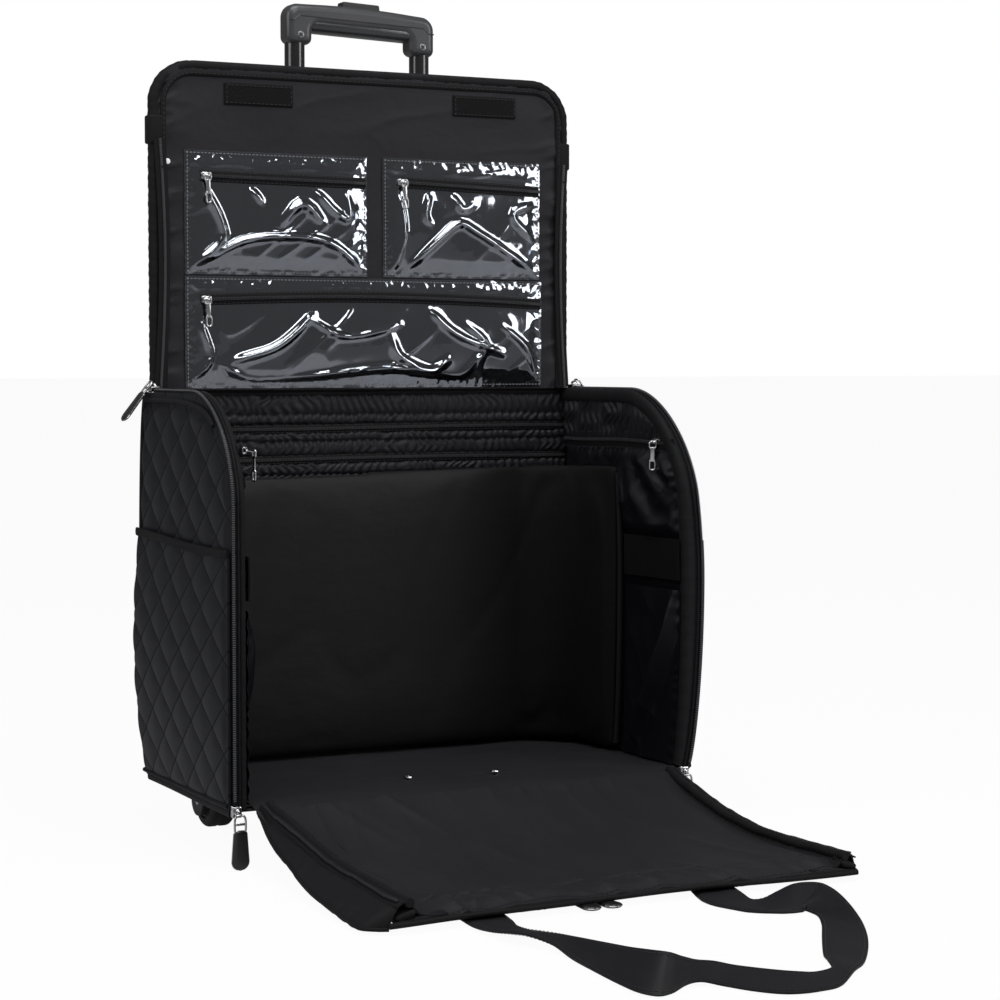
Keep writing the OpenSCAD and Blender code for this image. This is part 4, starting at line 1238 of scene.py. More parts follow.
# A chain up each side to its end tab, on a tape that is folded over the edge
def makeLidZips():
    for side, (low, high) in ((-1, tabs["left"]), (1, tabs["right"])):
        for upper in (False, True):
            s = rows(splitS, low + 4, 1.6) if upper else rows(1.0, splitS, 1.6)
            part = sideName(side) + ("Upper" if upper else "Lower")
            x = side * (lid["half"] - chainInset(s))
            path = lidPoint(x, s, 3.6)
            bendLid(sweep("lidTape" + part, path, (0, -1, 0), ring(11.0, 2.2, 10, 4), zipTape, None),
                    upper)
            bendLid(sweep("lidCord" + part, path - [0, 1.2, 0], (0, -1, 0), ring(2.8, 2.0, 8), zipTape,
                          None, slot="zip_coil"), upper)
            bendLid(makeTeeth("lidTeeth" + part, path - [0, 1.6, 0], (0, -1, 0), None, toothBright),
                    upper)
        x = lidX(side * (lid["half"] - 6.0))
        bar("lidTab" + sideName(side), (x, -6.6, lid["z"] + low), (x, -6.6, lid["z"] + high),
            (0, -1, 0), 16.5, 16.5, bindingCloth, "lid_bend", 2.0, 4.0)


def makeLidHinge():
    x, t = gridOf(np.linspace(1 - lid["half"], lid["half"] - 1, 160), np.linspace(0, 1, 14))
    for name, y0, y1, flip in (("lidHingeInside", -5.5, lid["inner"] + 1.6, False),
                               ("lidHingeOutside", -0.5, -1.6, True)):
        y = y0 + (y1 - y0) * ease(t) + 0.4 * hills(x / 22, t * 2, 51)
        piece = cloth(name, pointsAt(x, y, topZ - 7 + t * 20), 0.9, bindingCloth, None,
                      normals=(0, 1 if flip else -1, 0), flip=flip)
        blendPiece(piece, "root", "lid", (0, -7, topZ - 5), (0, -7, topZ + 8))


patchWide = 67


def patchPairs(node):  # x places of the left and the right patch
    low, high = bagBox(node)
    return (low[0], low[0] + patchWide), (high[0] - patchWide, high[0])


def makePatches():
    low, high = bagBox("hook_patches")
    for k, (x0, x1) in enumerate(patchPairs("hook_patches")):
        s0, s1 = low[2] - lid["z"], high[2] - lid["z"]
        x, s = gridOf(np.linspace(x0, x1, 90), np.linspace(s0, s1, 30))
        edge = np.minimum(np.minimum(x - x0, x1 - x), np.minimum(s - s0, s1 - s))
        rough = 0.28 * rng.uniform(-1, 1, x.shape) * ease(edge / 2)
        front = lidPoint(x, s, lidWaves(x, s) + 0.5 + 0.9 * ease(edge / 1.5) + rough)
        cloth(f"hookPatch{k}", front, 1.4, pile, "lid_end", nodes=["hook_patches"],
              normals=(0.0, -1.0, 0.0))
        corners = np.array([(x0 + 2, s0 + 2), (x1 - 2, s0 + 2), (x1 - 2, s1 - 2), (x0 + 2, s1 - 2),
                            (x0 + 2, s0 + 2)])
        line = resample(corners, 2.0, smooth=False)
        path = lidPoint(line[:, 0], line[:, 1], lidWaves(line[:, 0], line[:, 1]) + 1.5)
        makeStitches(f"hookSeam{k}", path, (0, -1, 0), "lid_end", slot="hook_pile")


makeLidCloth()
makeLidEdge()
makeLidZips()
makeLidHinge()
makePatches()
print("lid made")


# Clear pockets on the lid

# A ridge along a polyline, highest in its middle and gone at both ends
def foldLine(x, s, points, width, height):
    best = np.full(x.shape, 1e9)
    reach = np.zeros(x.shape)
    ends = resample(points, 6.0)
    run = runLength(ends)
    for k in range(len(ends) - 1):
        d = ends[k + 1] - ends[k]
        t = np.clip(((x - ends[k][0]) * d[0] + (s - ends[k][1]) * d[1]) / (d @ d), 0, 1)
        away = np.hypot(x - ends[k][0] - t * d[0], s - ends[k][1] - t * d[1])
        closer = away < best
        best = np.where(closer, away, best)
        reach = np.where(closer, (run[k] + t * (run[k + 1] - run[k])) / run[-1], reach)
    return height * np.exp(-(best / width) ** 2) * np.sin(np.pi * np.clip(reach, 0.02, 0.98)) ** 0.5


pockets = {
    "Lower": {"x": (-183, 184), "s": (1.5, 104.5), "zip": 82, "bow": 5.0, "tilt": 0.0,
              "full": 7.0, "seed": 61,
              "folds": [([(-178, 8), (-160, 28), (-168, 60)], 2.4, 5.0),
                        ([(-150, 24), (-120, 9), (-60, 12), (20, 20), (90, 12), (112, 30)], 3.2, 5.5),
                        ([(-140, 26), (-95, 40), (-58, 70)], 4.0, 4.5),
                        ([(-62, 66), (-30, 50), (10, 55), (30, 62)], 3.0, 4.0),
                        ([(60, 76), (90, 52), (140, 34)], 3.4, 4.5),
                        ([(20, 50), (30, 30), (62, 18), (80, 28)], 4.0, 5.0),
                        ([(100, 62), (120, 44), (112, 20)], 3.0, 3.5),
                        ([(140, 60), (165, 40), (180, 10)], 2.6, 4.5)]},
    "Left": {"x": (-183, -2), "s": (106, 219), "zip": 195, "bow": 0.0, "tilt": -2.0,
             "full": 6.0, "seed": 62,
             "folds": [([(-164, 186), (-148, 150), (-150, 135), (-180, 110)], 3.0, 5.5),
                       ([(-178, 110), (-130, 136), (-82, 142), (-40, 136), (-4, 110)], 3.4, 5.0),
                       ([(-92, 152), (-70, 172), (-48, 156)], 4.0, 5.5),
                       ([(-56, 186), (-36, 166), (-22, 160), (-24, 186)], 3.2, 4.0),
                       ([(-120, 186), (-108, 172)], 3.0, 3.0)]},
    "Right": {"x": (14, 182), "s": (106, 219), "zip": 195, "bow": 0.0, "tilt": -5.0,
              "full": 6.0, "seed": 63,
              "folds": [([(30, 186), (34, 150), (28, 122), (22, 108)], 3.0, 5.5),
                        ([(34, 110), (70, 142), (92, 158), (112, 150), (178, 112)], 3.4, 5.0),
                        ([(62, 186), (56, 166), (62, 158)], 3.0, 4.5),
                        ([(86, 186), (96, 172), (110, 178)], 3.0, 3.5),
                        ([(180, 182), (150, 168), (180, 140)], 3.2, 4.0)]},
}


# Height along the lid of a clear pocket's zip
def zipS(made, x):
    x0, x1 = made["x"]
    t = (x - x0) / (x1 - x0)
    return made["zip"] + made["bow"] * np.sin(np.pi * t) + made["tilt"] * (t - 0.3)


# How far the clear sheet stands off the lining: a slack bag below its zip, taut above it
def vinylLift(made, x, s):
    (x0, x1), (s0, s1) = made["x"], made["s"]
    line = zipS(made, x)
    edge = np.minimum(np.minimum(x - x0, x1 - x), np.minimum(s - s0, s1 - s))
    low = np.clip((s - s0) / (line - s0), 0, 1)
    bag = np.sin(np.pi * low) ** 0.7 * np.sin(np.pi * np.clip((x - x0) / (x1 - x0), 0, 1)) ** 0.5
    h = 1.2 + made["full"] * 0.55 * bag
    for points, width, height in made["folds"]:
        h = h + foldLine(x, s, points, width, height) * 0.75
    h = h + 1.3 * creases(x, s, 35, 60, 16, made["seed"], 4) * bag
    near = np.exp(-((s - line) / 9) ** 2)
    h = h * (1 - near) + near * 2.0
    above = (s > line + 6) * bump((s - line - 6) / (s1 - line - 6))
    h = h + above * (1.2 + 1.2 * creases(x, s, 12, 50, 14, made["seed"] + 5, 3))
    puckers = 0.5 * creases(x + s, x - s, 0, 7, 7, made["seed"] + 9, 2)
    puckers = puckers * np.exp(-((edge - 4) / 5) ** 2)
    return 0.5 + h * ease((edge - 1.5) / 16) + puckers * ease(edge / 3)


def makeClearPocket(name):
    made, lower = pockets[name], name == "Lower"
    (x0, x1), (s0, s1) = made["x"], made["s"]

    def sheetPoint(x, s, out):
        return lidPoint(x, s, lidWaves(x, s) * 0.6 + vinylLift(made, x, s) + out)

    body = "lid" if lower else None
    nodes = ["lower_clear_pocket"] if lower else ["upper_pockets_rear", "upper_clear_pockets"]
    x, s = gridOf(rows(x0, x1, 1.5), rows(s0, s1, 1.5))
    pieces = [cloth("clearPocket" + name, sheetPoint(x, s, 0.4), 0.35, vinyl, body, nodes=nodes,
                    normals=(0, -1, 0))]
    line = rows(x0 + (18 if name == "Right" else 15), x1 - 2, 2.0)
    path = sheetPoint(line, zipS(made, line), 1.2)
    makeZip("clearZip" + name, path, (0, -1, 0), 10.5, "lid" if lower else "lid_bend")
    inset = 2.6
    a, b, c, d = x0 + inset, x1 - inset, s0 + inset, s1 - inset
    for k, ends in enumerate((((a, c), (b, c)), ((b, c), (b, d)), ((a, d), (b, d)), ((a, c), (a, d)))):
        start, stop = np.array(ends)
        row = start + (stop - start) * np.linspace(0, 1, 90)[:, None]
        pieces.append(makeStitches(f"clearSeam{name}{k}", sheetPoint(row[:, 0], row[:, 1], 0.5),
                                   (0, -1, 0), body, 3.6, (0.9, 2.2, 0.5), stitchLight))
    if not lower:
        for piece in pieces:
            bendLid(piece, False)


for name in pockets:
    makeClearPocket(name)
snap = {"x": -199.0, "s": 207.4, "wide": 5.5}
bar("lidSnap", lidPoint(snap["x"], snap["s"], 0.8), lidPoint(snap["x"], snap["s"], 3.2), (0, 0, 1),
    snap["wide"], snap["wide"], snapWhite, "lid_bend", 1.2, 2.0)
print("clear pockets made")


# Carry strap

# Both edges of the webbing along its route, from the left seam round the loop to the right seam.
strapEdges = [
    ((-140, -434, 2.0), (-102, -434, 2.0)), ((-144, -462, 2), (-106, -462, 2)),
    ((-148, -488, 2.4), (-110, -486, 2)), ((-152, -518, 3), (-116, -510, 2)),
    ((-152, -543, 5), (-119, -525, 1.5)), ((-147, -567, 8), (-119, -542, 2)),
    ((-141, -584, 9), (-114, -558, 3)), ((-133, -605, 6), (-107, -577, 4)),
    ((-134, -636, 2), (-108, -609, 8)), ((-138, -673, 2), (-113, -646, 14)),
    ((-141, -711, 2), (-117, -686, 20)), ((-141, -738, 2), (-119, -716, 24)),
    ((-134, -753, 2), (-113, -732, 24)), ((-121, -751, 2), (-98, -726, 19)),
    ((-104, -742, 4), (-79, -714, 12)), ((-91, -740, 4), (-64, -713, 9)),
    ((-80, -749, 2), (-54, -721, 7)), ((-71, -768, 2), (-48, -738, 8)),
    ((-59, -784, 2), (-38, -754, 8)), ((-46, -791, 2), (-27, -760, 7)),
    ((-29, -792, 2), (-11, -760, 5)), ((-9, -787, 2), (7, -754, 5)),
    ((16, -768, 5), (20, -730, 4)), ((43, -743, 3), (33, -706, 2)),
    ((80, -697, 2), (62, -663, 1)), ((105, -658, 4), (90, -623, 1)),
    ((117, -630, 9), (104, -595, 1)), ((124, -605, 14), (100, -578, 2)),
    ((128, -583, 17), (95, -580, 3)), ((127, -566, 18), (98, -588, 1)),
    ((112, -557, 17), (90, -586, 1)), ((101, -548, 10), (78, -577, 1)),
    ((93, -541, 4), (66, -567, 1)), ((88, -532, 2), (54, -552, 2)),
    ((90, -518, 3), (52, -519, 1)), ((93, -508, 3), (55, -506, 1)),
    ((104, -475, 2), (66, -474, 2)), ((119, -434, 2.0), (81, -434, 2.0)),
]
strap = {"width": 38.0, "thick": 2.6, "seam": 3.0}


def makeStrap():
    both = resample(np.array([(*a, *b) for a, b in strapEdges], float), 3.0)
    a, b = both[:, :3], both[:, 3:]
    across = unit(b - a)
    v = np.linspace(0, 1, 13)
    p = a[:, None] + across[:, None] * (v * strap["width"])[None, :, None]
    n = gridNormals(p)
    along = np.arange(len(p)) * 3.0
    grid = gridOf(along, v * strap["width"])
    ripple = 0.7 * hills(grid[0] / 28, grid[1] / 22, 71) * np.sin(np.pi * v)[None]
    edge = np.minimum(v, 1 - v)[None] * strap["width"]
    rounded = 1 - (1 - np.clip((edge + 0.25) / 1.4, 0, 1)) ** 2
    half = strap["thick"] / 2 * np.sqrt(np.clip(rounded, 0.05, 1))
    half = half - 0.25 * np.exp(-((edge - strap["seam"]) / 0.9) ** 2)
    front = p + n * (half + ripple)[..., None]
    lift = np.maximum(0, 0.6 - (front[..., 2] - 2 * half * np.abs(n[..., 2])))
    front[..., 2] += lift
    p[..., 2] += lift
    cloth("carryStrap", front, 2 * half, webbing, "strap", normals=n, nodes=["carry_strap"], uv=grid)
    for k, (offset, face) in enumerate(((3.0, 1), (35.0, 1), (3.0, -1), (35.0, -1))):
        row = a + across * offset
        j = int(np.argmin(np.abs(v * strap["width"] - offset)))
        row = row + n[:, j] * (face * (strap["thick"] / 2 - 0.15) + ripple[:, j][:, None])
        row[:, 2] += lift[:, j]
        makeStitches(f"strapSeam{k}", row, n[:, j] * face, "strap", 3.8, (0.6, 2.6, 0.35))


makeStrap()
print("strap made")


# Handle

gripBox = bagBox("grip_shell")
grip = {"half": gripBox[1][0] - 4.0, "leg": 26.5, "low": gripBox[0][2], "top": gripBox[1][2],
        "bar": 9.0, "front": gripBox[0][1] + 1.0, "back": gripBox[1][1] - 2.0, "tilt": 0.036,
        "screwX": 63.5, "screwZ": 731.6, "seamX": (64.5, 69.5), "seamZ": (749.3, 744.6)}


# The grip sits a little lower on its right tube, within the play of the tubes
def gripZ(x, z):
    return z - grip["tilt"] * x - 1.0


def makeGrip():
    half, low, top, front, back = grip["half"], grip["low"], grip["top"], grip["front"], grip["back"]
    gap = half - grip["leg"]
    under = low + grip["bar"] + 11
    outer = [(half, low), *arcPoints(half - 13, top - 15, 13, 0, 80, 9),
             *[(x, top - 3.4 * (x / half) ** 2) for x in np.linspace(52, -52, 13)],
             *arcPoints(13 - half, top - 15, 13, 100, 180, 9), (-half, low)]
    inner = [(-gap, low), *arcPoints(8 - gap, under - 8, 8, 180, 90, 6),
             *arcPoints(gap - 8, under - 8, 8, 90, 0, 6), (gap, low)]
    shape = [(x, gripZ(x, z)) for x, z in outer + inner]
    slab("gripBody", shape, front, back, 6.8, gripPlastic, "handle", 6, nodes=["grip_shell"])
    middle = (front + back) / 2
    ends = [(side * (gap + 4), middle, gripZ(side * gap, under)) for side in (-1, 1)]
    bar("gripInsert", *ends, (0, 0, 1), back - front - 3.0, 16.0, gripUnder, "handle", 1.0, 2.2, 28,
        nodes=["under_grip"])
    (x0, x1), (z0, z1) = grip["seamX"], grip["seamZ"]
    line = resample([(1.5 - half, z1), (-x1, z1), (-x0, z0), (x0, z0), (x1, z1), (half - 1.5, z1)], 1.0,
                    smooth=False)
    path = pointsAt(line[:, 0], np.full(len(line), front - 0.02), gripZ(line[:, 0], line[:, 1]))
    sweep("gripSeam", path, (0, -1, 0), ring(1.1, 0.5, 6), pullInsert, "handle")
    for side in (-1, 1):
        x = side * grip["screwX"]
        z = gripZ(x, grip["screwZ"])
        name = "gripScrew" + sideName(side)
        bar(name, (x, front + 0.8, z), (x, front - 0.5, z), (0, 0, 1), 6.6, 6.6, screwHead, "handle",
            0.5, 2.0, 24, nodes=["grip_screws"])
        # Dark rubber bars on each screw head stand for its cross slots: painted shade in the slots
        for k, (dx, dz) in enumerate(((0.7, 0.7), (0.7, -0.7))):
            ends = [(x + reach * dx, front - 0.5, z + reach * dz) for reach in (-2.3, 2.3)]
            bar(f"{name}Slot{k}", *ends, (0, -1, 0), 1.5, 0.5, rubber, "handle", 0.1, 3.0, 8,
                slot="steel")
    box = bagBox("grip_button")
    x, y, high = box[1][0] + 1, (box[0][1] + box[1][1]) / 2, box[1][2]
    cap = [(x, gripZ(x, high - 9)), (x - 1, gripZ(x, high - 0.5)), (3.5 - x, gripZ(-x, high - 0.5)),
           (2.5 - x, gripZ(-x, high - 9))]
    slab("gripButtonCap", cap, y - 7, y + 7, 1.3, moulded, "button", 3, nodes=["grip_button"])


# Quilted sleeve over the handle tubes: a U in plan, drawn from bottom to top
def makeBackCover():
    box = bagBox("back_cover")
    w, reach, r = box[1][0] - 1.5, box[1][1] - 1.5, 13.0
    turn = np.linspace(0, np.pi / 2, 12)
    right = pointsAt(w - r + r * np.cos(turn), reach - r + r * np.sin(turn))
    left = right[::-1] * [-1, 1]
    plan = np.concatenate([[[w, 1.5]], right, left, [[-w, 1.5]]])
    plan = resample(plan, 2.4, smooth=False)
    z = rows(box[0][2], box[1][2] - 3, 2.4)
    p = np.zeros((len(plan), len(z), 3))
    p[..., :2] = plan[:, None]
    p[..., 2] = z
    n = gridNormals(p)
    u, v = gridOf(np.arange(len(plan)) * 2.4, z)
    soft = ease((v - z[0]) / 8) * ease((z[-1] - v) / 8) * ease(u / 6) * ease((u[-1, 0] - u) / 6)
    front = p + n * (quiltHeight(u, v) * 0.75 * soft)[..., None]
    piece = cloth("handleSleeve", front, 3.0, quilted, "root", normals=n, uv=(u, v),
                  nodes=["back_cover"])
    for k, height in enumerate((box[0][2] + 2.5, box[1][2] - 4.5)):
        path = np.concatenate([plan, np.full((len(plan), 1), height)], 1)
        sweep(f"sleeveBinding{k}", path, (0, 0, 1), ring(5.2, 6.0, 10), bindingCloth, "root")


makeGrip()
makeBackCover()
print("handle made")


# Inside of the side walls

inside = {"rear": -12.0, "front": -216.5, "zip": 352.0, "ruche": 11.0}
elasticBox, slipBox = bagBox("elastic_straps"), bagBox("inner_slip_pockets")


# Lining this far in from its wall's inner face; it follows most of the wall's bulge
def liningX(side, y, z, out=0.0):
    return side * (halfW - wallT - 0.6 - out + 0.6 * wallBow(side, y, z))


# A sheet over the inner side of a wall; y runs from the back to the front
def makeLining(name, side, y, z, out, thick, material, **more):
    front = pointsAt(liningX(side, y, z, out), y, z)
    return cloth(name, front, thick, material, "root", normals=(-side, 0, 0), flip=side < 0, **more)


# Drawn folds of the slack satin: points (y, z), width and height
satinFolds = [([(-132, 340), (-142, 306), (-168, 278), (-196, 268)], 11, 9.0),
              ([(-146, 342), (-172, 322), (-200, 292)], 9, 7.0), ([(-190, 340), (-204, 318)], 7, 5.0),
              ([(-118, 330), (-128, 290), (-126, 262)], 8, 6.0)]
slipFolds = [([(-212, 214), (-202, 176), (-180, 128), (-144, 66)], 8, 15.0),
             ([(-170, 216), (-160, 180), (-160, 140)], 9, 2.5)]


def makeInnerSide(side):
    part = sideName(side)
    front, rear, zipZ = inside["front"], inside["rear"], inside["zip"]
    y, z = gridOf(np.linspace(rear, front, 130), np.linspace(56, zipZ - 2, 170))
    z = np.minimum(z, outline(y) - 10)
    edge = np.minimum(np.minimum(rear - y, y - front), zipZ - 2 - z)
    slack = 0.8 + 2.6 * creases(y, z, 55, 80, 30, 81, 2.5) + 0.8 * creases(y, z, 30, 30, 12, 82, 3)
    for line, width, height in satinFolds:
        slack = slack + foldLine(y, z, line, width, height)
    pleats = 2.4 * gathers(z + 0.2 * y, y / 40, 12, 83) * np.exp(-((y - front - 4) / 8) ** 2)
    top = 1.2 * gathers(y, z / 40, 9, 84) * np.exp(-((zipZ - 6 - z) / 7) ** 2)
    upper = ease((z - 262) / 14)
    facets = 3.8 * creases(y, z, -48, 40, 16, 88, 1.3) * upper
    out = 0.8 + (slack * (0.25 + 0.75 * upper) + facets) * ease(edge / 14) + pleats + top
    makeLining("innerZipPocket" + part, side, y, z, out, 0.5, satin, nodes=["inner_zip_pockets"])
    y, t = gridOf(np.linspace(rear, front + 4, 170), np.linspace(0, 1, 24))
    low = zipZ + 3.5
    z = low + t * (outline(y) - inside["ruche"] - zipZ - 3.5)
    keep = z > zipZ + 3.4
    deep = np.abs(2 * t - 1) * 0.4 + 0.6
    pleats = 3.2 * gathers(y + 12 * (t - 0.5), t * 3, 10, 85) * deep
    out = 0.6 + (1.8 * np.sin(np.pi * t) + pleats) * keep
    z = np.maximum(z, low)
    makeLining("innerRuched" + part, side, y, z, out, 0.5, ruchedSatin)
    y = np.linspace(rear - 2, front + 20, 120)
    z = zipZ + 0.8 * np.sin(y / 26)
    path = pointsAt(liningX(side, y, z, 2.4), y, z)
    makeZip("innerZip" + part, path, (-side, 0, 0), 17.0, "root", ["zip_tapes"])
    y0, y1 = elasticBox[1][1], elasticBox[0][1] - 7.5
    z0, z1 = elasticBox[0][2] + 5, elasticBox[1][2] - 5
    y, z = gridOf(np.linspace(y0, y1 - 1, 60), np.linspace(z0, z1, 60))
    rib = 0.08 * np.sin(z * 2.6) + 0.5 * np.sin(np.pi * (z - z0) / (z1 - z0))
    makeLining("innerElastic" + part, side, y, z, 7.5 + rib, 1.6, elastic, nodes=["elastic_straps"])
    y, z = gridOf(np.linspace(y0, y1 - 1, 90), np.linspace(slipBox[0][2] + 1, slipBox[1][2], 150))
    edge = np.minimum(y0 - y, y - y1)
    slack = 1.5 * creases(y, z, 70, 80, 26, 86, 3)
    for line, width, height in slipFolds:
        slack = slack + foldLine(y, z, line, width, height)
    ahead = np.clip((y0 - y) / (y0 - y1), 0, 1)
    mouth = 2.0 * bump((z - slipBox[1][2] + 30) / 60) * np.sin(np.pi * ahead)
    pleats = 1.5 * gathers(z + 4 * hills(z / 30, y / 40, 89), y / 40, 15, 87)
    pleats = pleats * np.exp(-((y - y1) / 7) ** 2)
    makeLining("innerSlipPocket" + part, side, y, z, 5.2 + slack * ease(edge / 10) + mouth + pleats,
               0.5, satin, nodes=["inner_slip_pockets"])


# Strips with the zip chain along the sides of the front panel

strip = {"first": 4.0, "last": 279.0,
         "section": np.array([(166, 3.6), (176, 2.6), (184, 3.0), (190, 5.6), (194, 10.0), (197, 14.2),
                              (200.5, 16.4), (204, 15.8), (208, 13.2), (213, 8.8), (218, 3.4),
                              (221.5, -1.6), (223, -5.0)])}


# A section of the strip, low by the hinge and full height from a quarter of the way out
def stripPoint(side, p, section):
    rise = (0.35 + 0.65 * ease(p / 70)) * (1 if side < 0 else 0.8)
    x, q = section[..., 0], section[..., 1]
    rounded = np.clip(1 - (np.clip(p - 263, 0, 16) / 17.0) ** 2, 0, 1)
    spread = (0.25 + 1.2 * ease(p / 230)) * np.sqrt(rounded)
    x = np.minimum(x, 204) + np.clip(x - 204, 0, None) * spread * (1 if side < 0 else 0.5)
    lean = 1.6 * np.sin(p / 37) + 1.0 * np.sin(p / 17 + side)
    ripple = 0.5 * hills(p / 9, x / 9, 91 + side)
    q = 4.0 + (q - 4.0) * rise + ripple * ease((x - 168) / 6)
    return panelPoint(side * (x + lean * ease((x - 190) / 20)), p, q)


def makeStrip(side):
    part = sideName(side)
    p = rows(strip["first"], strip["last"], 2.2)
    fine = resample(strip["section"], 1.6)
    grid = stripPoint(side, p[:, None] + 0 * fine[None, :, 0],
                      np.broadcast_to(fine, (len(p), *fine.shape)))
    cloth("frontStrip" + part, grid, 1.4, shellCloth, "front", flip=side < 0)
    for name, place, profile, material in (
            ("stripRoll", (198.0, 14.6), ring(7.5, 7.5, 12), bindingCloth),
            ("stripTape", (206.5, 13.6), ring(7.0, 1.6, 8, 4), zipTape),
            ("stripHem", (222.6, -4.4), ring(3.4, 3.4, 8), bindingCloth)):
        path = stripPoint(side, p, np.broadcast_to(place, (len(p), 2)))
        pucker = 1 + 0.16 * gathers(p, p / 50, 6.5, 95) * (name == "stripRoll")
        section = profile[None] * pucker[:, None, None]
        sweep(name + part, path, (side * 0.35, 0, 1), section, material, "front")
    p = rows(strip["first"] + 4, strip["last"] - 4, chain["pitch"])
    path = stripPoint(side, p, np.broadcast_to((205.6, 15.6), (len(p), 2)))
    up = (side * 0.45, 0, 0.9)
    sweep("stripCord" + part, path, up, ring(2.8, 2.2, 8), zipTape, "front", slot="zip_coil")
    makeTeeth("stripTeeth" + part, path + [side * 0.3, 0, 0.6], up, "front", toothCoil)
    ends = [panelPoint(side * 202.0, p, q) for p, q in ((266.0, 8.5), (281.0, 4.5))]
    bar("stripTab" + part, *ends, (side * 0.30, 0.1, 1), 17.0, 5.5, bindingCloth, "front", 2.5, 3.4)


# Pocket and patches under the front panel

def makeFrontPocket():
    half = bagBox("front_pocket")[1][0]
    p0, p1 = 25.0, 230.0
    x, p = gridOf(np.linspace(-half, half, 140), np.linspace(p0, p1, 76))
    soft = ease(np.minimum(half - np.abs(x), np.minimum(p - p0, p1 - p)) / 9)
    grid = panelPoint(x, p, -4.9 - 1.4 * soft - 0.45 * quiltHeight(x, p) * soft)
    cloth("frontPocket", grid, 1.0, quilted, "front", uv=(x, p), normals=-panelUp,
          nodes=["front_pocket"])
    edge = panelPoint(np.linspace(-half + 1, half - 1, 150), p1 - 2, -6.4)
    sweep("frontPocketEdge", edge, -panelUp, ring(9.0, 2.6, 10, 3), bindingCloth, "front")
    for k, (x0, x1) in enumerate(patchPairs("loop_patches")):
        x, p = gridOf(np.linspace(x0, x1, 70), np.linspace(260.5, 272.0, 14))
        grid = panelPoint(x, p, -4.9 + 0.2 * rng.uniform(-1, 1, x.shape))
        cloth(f"loopPatch{k}", grid, 0.9, pile, "front", nodes=["loop_patches"], normals=-panelUp)


for side in (-1, 1):
    makeInnerSide(side)
    makeStrip(side)
makeFrontPocket()
print("inner sides and front strips made")


# Sliders and pulls

def turned(a, b):
    return unit(np.cross(np.asarray(a, float), np.asarray(b, float)))


def hangFrame(head, along, face):  # a place, its two directions and the one across them
    along, face = unit(np.array(along, float)), unit(np.array(face, float))
    return np.array(head, float), along, face, turned(along, face)


# A zip slider: an upper plate with folded flanges, a lower plate and an arched bridge
def makeSlider(name, centre, along, out, size, body, nodes):
    length, width, high = size
    centre, along, out, across = hangFrame(centre, along, out)
    ends = [centre - along * length / 2, centre + along * length / 2]
    top = out * high * 0.28
    bar(name + "Plate", ends[0] + top, ends[1] + top, out, width, high * 0.24, nickel, body, 1.6, 3.0,
        nodes=nodes)
    bar(name + "Under", ends[0] - top, ends[1] - top, out, width * 0.86, high * 0.22, nickel, body, 1.6,
        3.0)
    for k in (-1, 1):
        shift = across * (k * (width / 2 - 0.9)) + out * high * 0.12
        bar(f"{name}Flange{k + 1}", ends[0] + shift + along * 1.2, ends[1] + shift - along * 1.2, out,
            1.8, high * 0.5, nickel, body, 0.8, 3.0)
    t = np.linspace(0, np.pi, 22)[:, None]
    arch = centre + out * high * 0.36 + along * (np.cos(t) * length * 0.34)
    arch = arch + out * (np.sin(t) * high * 0.42)
    sweep(name + "Bridge", arch, out + along * 1e-3, ring(3.0, 1.5, 10), nickel, body)


# A rounded rectangle that starts at its head, as a closed path
def loopPath(head, along, across, long, wide, count=40):
    a = np.linspace(0, 2 * np.pi, count, endpoint=False)
    c, s = np.cos(a), np.sin(a)
    p = 2 / 3.2
    down = (1 - np.sign(c) * np.abs(c) ** p) * long / 2
    aside = np.sign(s) * np.abs(s) ** p * wide / 2
    return head + along * down[:, None] + across * aside[:, None]


# A flat drop that widens to a round end: its width and thickness fall along it as square roots
def tear(name, head, along, face, long, narrow, wide, thick, material, body):
    t = np.concatenate([np.linspace(0, 0.08, 6), np.linspace(0.08, 1, 40)[1:]])
    start = np.sqrt(np.clip(t / 0.07, 0, 1))
    stop = np.sqrt(np.clip(1 - ((t - 0.76).clip(0) / 0.24) ** 2, 0, 1))
    scale = (0.55 + 0.45 * start) * np.maximum(stop, 0.04)
    flat = np.minimum(1, np.maximum(stop, 0.05) ** 0.5) * (0.75 + 0.25 * start)
    sections = rings((narrow + (wide - narrow) * t) * scale, thick * flat, 20, 2.6)
    sweep(name, head + along * (t * long)[:, None], face, sections, material, body)


# The large pull: a flat metal loop and a moulded drop with a metal rim, hung along a direction
def makePull(name, head, along, face, body, nodes, long=46.0):
    head, along, face, across = hangFrame(head, along, face)
    loop = 13.0
    path = loopPath(head, along, across, loop + 4, 10.0)
    sweep(name + "Loop", path, face, ring(2.0, 1.8, 8), nickel, body, closed=True, nodes=nodes)
    bar(name + "Cross", head + along * 7.5 - across * 4.4, head + along * 7.5 + across * 4.4, face, 2.2,
        1.5, nickel, body, 0.8)
    start = head + along * loop
    tear(name + "Drop", start, along, face, long - loop, 12.0, 17.0, 4.2, pullInsert, body)
    tear(name + "Rim", start - along * 0.4, along, face, long - loop + 0.8, 12.6, 17.6, 1.5, nickel,
         body)


# The small pull: a round head with a hole, a waisted stem and an oval eye at its end
def makeSmallPull(name, head, along, face, body, long=25.0):
    head, along, face, across = hangFrame(head, along, face)
    wire = ring(1.9, 1.6, 8)
    loop = loopPath(head - along * 1.5, along, across, 6.5, 6.0, 24)
    sweep(name + "Head", loop, face, wire, nickel, body, closed=True)
    bar(name + "Stem", head + along * 3.6, head + along * (long - 7.5), face, 4.4, 1.5, nickel, body,
        0.7)
    loop = loopPath(head + along * (long - 9.5), along, across, 9.5, 5.0, 30)
    sweep(name + "Eye", loop, face, wire, nickel, body, closed=True)


